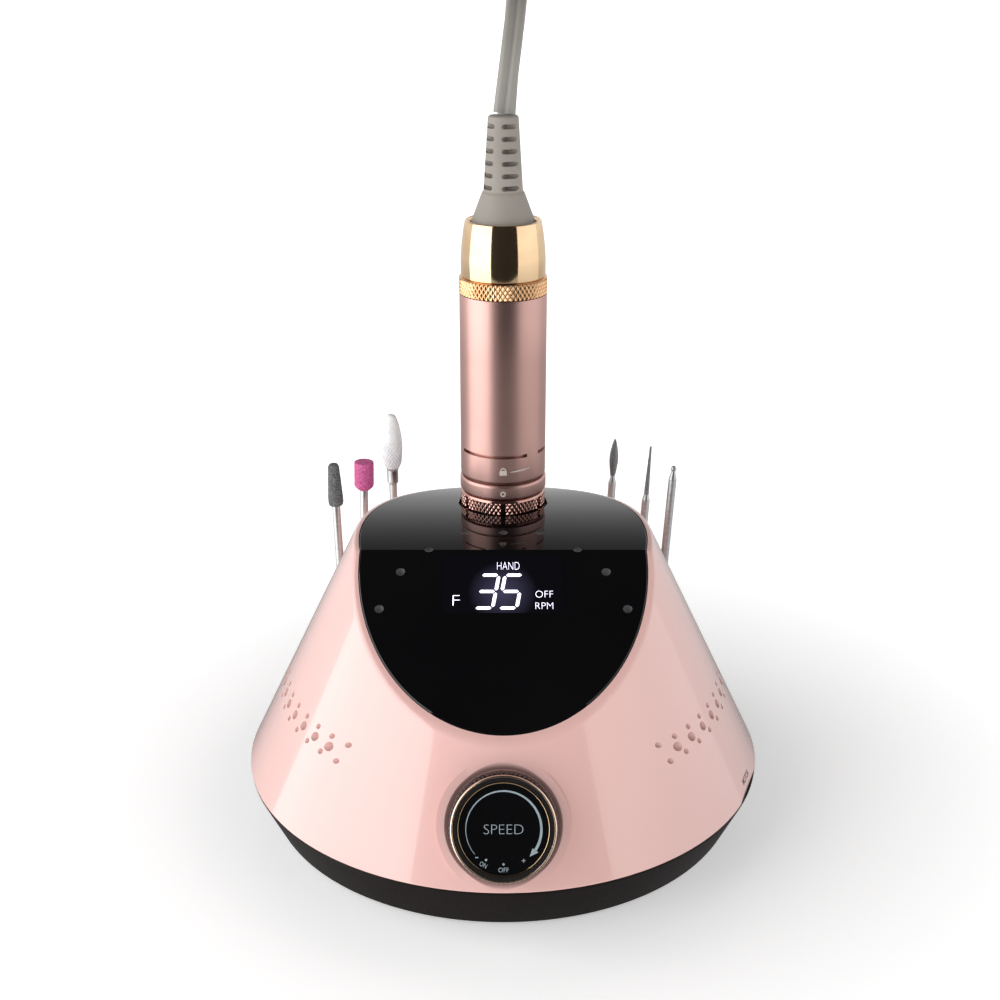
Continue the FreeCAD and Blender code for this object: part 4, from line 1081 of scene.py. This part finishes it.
def make_handpiece():
    """The handpiece's outside, from the front ring in the well up to the boot."""
    here, body = ON_HANDPIECE, "handpiece"
    front = [(11.65, 78.0), (12.1, 78.0), (12.4, 78.3), (TUBE_RADIUS, 78.7)]
    front += [(TUBE_RADIUS, z) for z in rows_between(79.5, 88.5, 48)]
    front += [(12.47, 88.75), (12.38, 89.0), (12.2, 89.2), (12.0, 89.3), (11.25, 89.3), (11.25, 84.05),
              (11.65, 84.05)]
    ring = lathe("handpiece_front_ring", front, 720, knurl(60, 2.0, 0.36, 84.0, 88.4, 12.3, 6, 0.7, 0.06))
    settle(ring, body, "rose_bright", here, ["front_ring"], 40)
    tube = [(11.25, 94.3), (12.0, 94.3), (12.3, 94.5), (12.46, 94.8)]
    tube += [(TUBE_RADIUS, z) for z in (95.2, 110, 130, 148.2)]
    tube += [(12.42, 148.45), (11.25, 148.45)]
    tube = lathe("handpiece_tube", tube, 256)
    cutters = []
    for i in range(3):
        start = math.radians(-156 + 120 * i)
        turns = rows_between(start, start + math.radians(100), 40)
        outer, inner = ([(r * math.cos(a), r * math.sin(a)) for a in turns] for r in (14, 10.4))
        cutters.append(flat_strip("slot", outer, inner, 102.3, 103.3))
    carve(tube, cutters)
    settle(tube, body, "rose", here, ["body_tube"], 30)
    band = [(11.3, 148.5), (12.3, 148.5), (12.55, 148.7)]
    band += [(12.6, z) for z in rows_between(148.85, 152.95, 28)]
    band += [(12.55, 153.12), (12.3, 153.3), (11.3, 153.3)]
    band = lathe("handpiece_band", band, 720, knurl(60, 2.05, 0.34, 148.85, 152.95, 12.4))
    settle(band, body, "knurl_gold", here, ["knurled_band"], 40)
    collar = [(10.9, 153.35), (12.05, 153.35), (12.05, 158.5), (11.75, 162.5), (11.25, 166.5), (10.75, 169.2),
              (9.95, 169.2), (9.4, 168.0), (9.4, 157.0)]
    collar = lathe("handpiece_collar", soften(collar, 0.9, 5), 192)
    settle(collar, body, "gold", here, ["rear_collar"], 35)
    ring = [(11.35, 89.65), (12.35, 89.65), (LOCK_RADIUS, 90.05), (LOCK_RADIUS, 93.2), (12.62, 93.6),
            (12.35, 94.0), (11.35, 94.0)]
    lock = lathe("handpiece_lock_ring", soften(ring, 0.22, 3), 192)
    settle(lock, "lock_ring", "rose", here, ["lock_ring"], 30)
    make_boot()
    make_handpiece_marks()


def make_boot():
    """The rubber boot: a skirt in the collar and a tapered neck with rows of rounded pockets."""
    outline = [(0, 158.5), (9.35, 158.5), (9.35, 167.9), (9.1, 168.3), (6.0, 176.6), (5.5, 177.2),
               (4.2, 197.5), (0, 197.5)]
    boot = lathe("cord_boot", soften(outline, 0.7, 4), 160)
    cutters = []
    for row in range(6):
        height = 178.35 + 3.3 * row
        size = (5.5 - 1.3 * (height - 177.2) / 20.3) / 5.2
        for side in (-1, 1):
            for low, high in ((1.2, 8), (-8, -1.2)):
                cutter = flat_shape("pocket", pill(1.95 * size, 4.35 * size, 0.66), low, high)
                stand = Matrix.Translation((0, 0, height)) @ Matrix.Rotation(math.pi / 2, 4, "X")
                side_on = Matrix.Rotation(math.radians(-20 + (0 if side > 0 else 180)), 4, "Z")
                cutters.append(moved(cutter, side_on @ stand))
    carve(boot, cutters)
    return settle(boot, "handpiece", "boot", ON_HANDPIECE, ["strain_relief"], 35)


def pill(left, right, half):
    """The outline of a slot with round ends, lying along X between two centres."""
    steps = rows_between(-math.pi / 2, math.pi / 2, 8)
    return [*[(right + half * math.cos(a), half * math.sin(a)) for a in steps],
            *[(left - half * math.cos(a), -half * math.sin(a)) for a in steps]]


def wrapped(item, radius, height):
    """Wraps a flat mark round the handpiece at a height, its middle to the front."""
    for vertex in item.data.vertices:
        x, y, z = vertex.co
        angle, distance = x / radius, radius + z
        vertex.co = (distance * math.sin(angle), -distance * math.cos(angle), height + y)
    return item


def make_handpiece_marks():
    """Small etched marks: a padlock and a line on the tube, a ring on the lock ring."""
    across = rows_between(-1.05, 1.05, 12)
    body = flat_strip("lock", [(x, 0.45) for x in across], [(x, -1.0) for x in across], 0, 0.02)
    shackle = moved(arc_band("shackle", 0.66, -90, 90, (0.36, 0.36), 16, 0, 0.02),
                    Matrix.Translation((0, 0.5, 0)))
    spots = [(2.1 + 0.35 * i, 0.08 + 0.16 * math.sin(math.pi * i / 18)) for i in range(19)]
    rise = [0.03 * i for i in range(19)]
    line = flat_strip("line", [(x, up + half) for (x, half), up in zip(spots, rise)],
                      [(x, up - half) for (x, half), up in zip(spots, rise)], 0, 0.02)
    marks = wrapped(joined("lock_marks", [body, shackle, line]), TUBE_RADIUS, 98.3)
    settle(marks, "handpiece", "etched", ON_HANDPIECE, (), 20)
    ring = wrapped(arc_band("lock_ring_mark", 0.62, 0, 359.9, (0.42, 0.42), 32, 0, 0.02), LOCK_RADIUS, 91.6)
    settle(ring, "lock_ring", "etched", ON_HANDPIECE, (), 20)


# ---------------------------------------------------------------- bits


def grit(size, depth):
    """Small uneven grains, the same ones each time."""
    def shape(angle, radius, height):
        place = Vector((radius * math.sin(angle), radius * math.cos(angle), height)) / size
        return depth * noise.noise(place)
    return shape


def crossed_cuts(count, pitch, depth):
    """The cross cuts of a ceramic bit: deep over its lower half, faint near its tip."""
    def shape(angle, radius, height):
        around = count * angle / TURN
        ridge = min(wave(around + height / pitch), wave(around - height / pitch))
        fade = min(max((11.5 - height) / 4, 0.25), 1)
        return -depth * fade * (1 - ridge) * min(radius / 1.5, 1)
    return shape


def fine_profile(outline, step):
    """The outline with points added so that no run is longer than step."""
    result = []
    for (r0, z0), (r1, z1) in zip(outline, outline[1:]):
        count = max(1, math.ceil(math.hypot(r1 - r0, z1 - z0) / step))
        result += [(r0 + (r1 - r0) * i / count, z0 + (z1 - z0) * i / count) for i in range(count)]
    return [*result, outline[-1]]


BIT_HEADS = {
    "sanding_taper": [(1.9, 0.02), (2.19, 0.9), (2.15, 3.0), (1.6, 12.1), (1.2, 12.9)],
    "stone_barrel": [(1.6, 0.02), (2.9, 1.4), (2.9, 8.8), (2.7, 9.0)],
    "ceramic_flame": [
        (2.1, 0.02), (2.9, 1.8), (3.25, 4.2), (3.33, 7.5), (3.05, 10.8), (2.5, 14.0), (1.66, 16.5),
        (0.9, 17.3),
    ],
    "diamond_flame": [(0.72, 0.0), (1.1, 2.4), (1.37, 5.2), (1.2, 7.8), (0.75, 10.2), (0.25, 11.9)],
    "diamond_needle": [(0.75, 0.0), (0.3, 15.2)],
    "ball_tip": [(0.58, 0.0), (0.8, 0.3), (0.87, 0.65), (0.7, 1.2), (0.35, 1.5)],
}
BIT_NECKS = {
    "sanding_taper": [(1.175, 0.0)],
    "stone_barrel": [(1.175, 0.0)],
    "ceramic_flame": [(1.175, -5.0), (1.7, -4.5), (1.7, -0.5), (2.0, 0.0)],
    "diamond_flame": [(1.175, -2.2), (0.65, 0.0)],
    "diamond_needle": [(1.175, -1.8), (0.7, 0.0)],
    "ball_tip": [(1.175, -2.5), (0.55, 0.0)],
}
BIT_FINISH = {
    "sanding_taper": ("sanding_grit", "sanded", grit(0.32, 0.12)),
    "stone_barrel": ("stone_pink", "corundum", grit(0.4, 0.1)),
    "ceramic_flame": ("ceramic_white", "ceramic", crossed_cuts(20, 1.5, 0.32)),
    "diamond_flame": ("diamond_grit", "diamond", grit(0.2, 0.1)),
    "diamond_needle": ("diamond_grit", "diamond", grit(0.2, 0.07)),
    "ball_tip": ("shank_steel", "steel", None),
}


def make_bits():
    """The six bits, each a shank and a head; the photo's panel doesn't mirror them."""
    for bit, head in BIT_HEADS.items():
        place = along_bit(bit)
        low = -BITS[bit][-1]
        foot = [(0, low), (0.9, low), (SHANK_RADIUS, low + 0.3)]
        neck = BIT_NECKS[bit]
        slot, look, shape = BIT_FINISH[bit]
        one_piece = bit in ("diamond_flame", "diamond_needle", "ball_tip")
        shank = lathe(f"{bit}_stem", soften([*foot, *neck, (0, neck[-1][1])], 0.12, 2), 48)
        replaced = [f"{bit}_bit"] if one_piece else [f"{bit}_shank"]
        settle(shank, bit, "steel", place, replaced, 35)
        rounded = soften([(0, head[0][1]), *head, (0, head[-1][1])], 0.45, 4)
        top = lathe(f"{bit}_tip", fine_profile(rounded, 0.16), 120, shape)
        settle(top, bit, look, place, [] if one_piece else [f"{bit}_head"], 60)
        shank.visible_glossy = top.visible_glossy = False


# ---------------------------------------------------------------- back of the unit


def make_switches():
    """The two rocker switches: a case with a mouth, a hollowed cap and its two marks."""
    for name, place in SWITCHES.items():
        case = block(f"{name}_case", 15.4, 21.4, 0, 1.2, 0.35)
        carve(case, [block("mouth", 10.8, 15.6, -5.5, 3)])
        body = block("body", 13, 19, -13, -0.01)
        carve(body, [block("mouth", 10.8, 15.6, -5.5, 3)])
        whole = joined(f"{name}_switch_case", [case, body])
        settle(whole, "unit", "moulded", place, [f"{name}_switch"], 30)
        lever = rocker_mesh(f"{name}_rocker_cap")
        tilt = place @ Matrix.Translation((0, 0, 0.4)) @ Matrix.Rotation(math.radians(7), 4, "X")
        settle(lever, f"{name}_rocker", "black_metal", tilt, [f"{name}_rocker"], 30)
        line = flat_shape("bar", [(-0.2, -1.1), (0.2, -1.1), (0.2, 1.1), (-0.2, 1.1)], 0, 0.03)
        ring = arc_band("ring", 0.85, 0, 359.9, (0.35, 0.35), 32)
        marks = [moved(mark, Matrix.Translation((0, y, 2.02))) for mark, y in ((line, 5.0), (ring, -5.0))]
        marks = joined(f"{name}_rocker_marks", marks)
        settle(marks, f"{name}_rocker", "ink", tilt, (), 20)


def rocker_mesh(name):
    """A rocker cap with a shallow hollow along its length."""
    cap = block(name, 10.2, 14.6, -2.2, 2.2, 0.45)
    hollow = rod("hollow", 60, -4, 4, 512)
    moved(hollow, Matrix.Translation((0, 0, 61.75)) @ Matrix.Rotation(math.pi / 2, 4, "Y"))
    return carve(cap, [hollow])


def make_sockets():
    """Each socket: a barrel with a flat flange, and a pin where it has one."""
    for name, (azimuth, height, bore, depth, pin) in SOCKETS.items():
        outline = [(bore, -depth), (bore, 0.6), (bore + 0.2, 0.8), (5.4, 0.8), (5.8, 0.5), (5.8, 0.0),
                   (4.0, 0.0), (4.0, -14.0), (0, -14.0), (0, -depth)]
        pieces = [lathe(f"{name}_barrel", outline, 96)]
        if pin:
            stem = [(0, -depth - 1), (pin, -depth - 1), (pin, -0.8), (0, -0.8)]
            pieces.append(lathe("pin", soften(stem, 0.3, 3), 32))
        face = joined(f"{name}_face", pieces)
        settle(face, "unit", "moulded", on_shell(azimuth, height), [name], 30)


def make_label():
    """The word by the motor lead's socket."""
    word = lettering("motor_label", "MOTOR", 6.8, 1.8, 0.05)
    for vertex in word.data.vertices:
        x, y, z = vertex.co
        azimuth = math.radians(69.5) + x / 74.0
        height = 18.4 + y * math.cos(LEAN)
        radius = radius_at(height) + z * math.cos(LEAN)
        vertex.co = (radius * math.sin(azimuth), -radius * math.cos(azimuth), height + z * math.sin(LEAN))
    return settle(word, "unit", "dark_ink", Matrix(), (), 20)


# ---------------------------------------------------------------- the frame's own pieces, given better looks

CAD_LOOKS = {
    "display_module": "board", "rubber_feet": "rubber", "base_screws": "zinc", "board_screws": "zinc",
    "control_board": "board", "board_parts": "moulded", "heat_sink": "alloy", "ballast_plate": "iron",
    "handpiece_well": "moulded", "bit_racks": "rack", "socket_nuts": "brass", "wiring": "moulded",
    "speed_pot": "inner_steel", "pot_shaft": "steel", "nose_cone": "rose", "spindle_housing": "rose",
    "motor_can": "inner_steel", "motor_magnets": "iron", "motor_end_cap": "moulded",
    "spindle_bearings": "inner_steel", "cam_sleeve": "steel", "spindle": "steel", "collet": "steel",
    "drive_coupling": "moulded", "motor_rotor": "inner_steel",
}


def dress_frame():
    """Gives the pieces that stay as the CAD model has them, most of them inside, a finish each."""
    for name, look in CAD_LOOKS.items():
        slots = nodes[name].material_slots
        for slot in slots:
            slot.material = looks[look]
        if not slots:
            nodes[name].data.materials.append(looks[look])


def make_floor():
    """A pale floor whose glow is painted lower near the object, as painted shade round its base, and rises to
    white farther out.
    """
    made, tree, shader, add = new_material("floor_with_painted_shade")
    place = add("ShaderNodeTexCoord").outputs["Object"]
    distance = add("ShaderNodeVectorMath", Vector=place)
    distance.operation = "LENGTH"
    # Painted shade: the floor's glow is kept low close to the object and rises with distance.
    glow = add("ShaderNodeMapRange", Value=distance.outputs["Value"], From_Min=0.09, From_Max=0.32,
               To_Min=0.36, To_Max=0.95)
    tree.links.new(glow.outputs["Result"], shader.inputs["Emission Strength"])
    shader.inputs["Emission Color"].default_value = (1, 1, 1, 1)
    shader.inputs["Base Color"].default_value = (0.9, 0.9, 0.9, 1)
    shader.inputs["Roughness"].default_value = 0.3
    shader.inputs["Specular IOR Level"].default_value = 0.25
    mesh = bpy.data.meshes.new("floor")
    mesh.from_pydata([(-9, -9, 0), (9, -9, 0), (9, 9, 0), (-9, 9, 0)], [], [(0, 1, 2, 3)])
    floor = new_object("floor", mesh)
    floor.data.materials.append(made)
    floor.visible_glossy = False


# ---------------------------------------------------------------- the scene

add_camera()
looks.update(make_materials())
looks["light"] = lit_material()
cord, cord_line = make_cord()
plug_grip, plug_barrel = make_plug()
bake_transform(cord)
add_lights()
make_floor()
make_shell()
make_panel()
make_window_glow()
make_display()
make_base()
make_knob()
make_knob_print()
make_handpiece()
make_bits()
make_switches()
make_sockets()
make_label()
dress_frame()
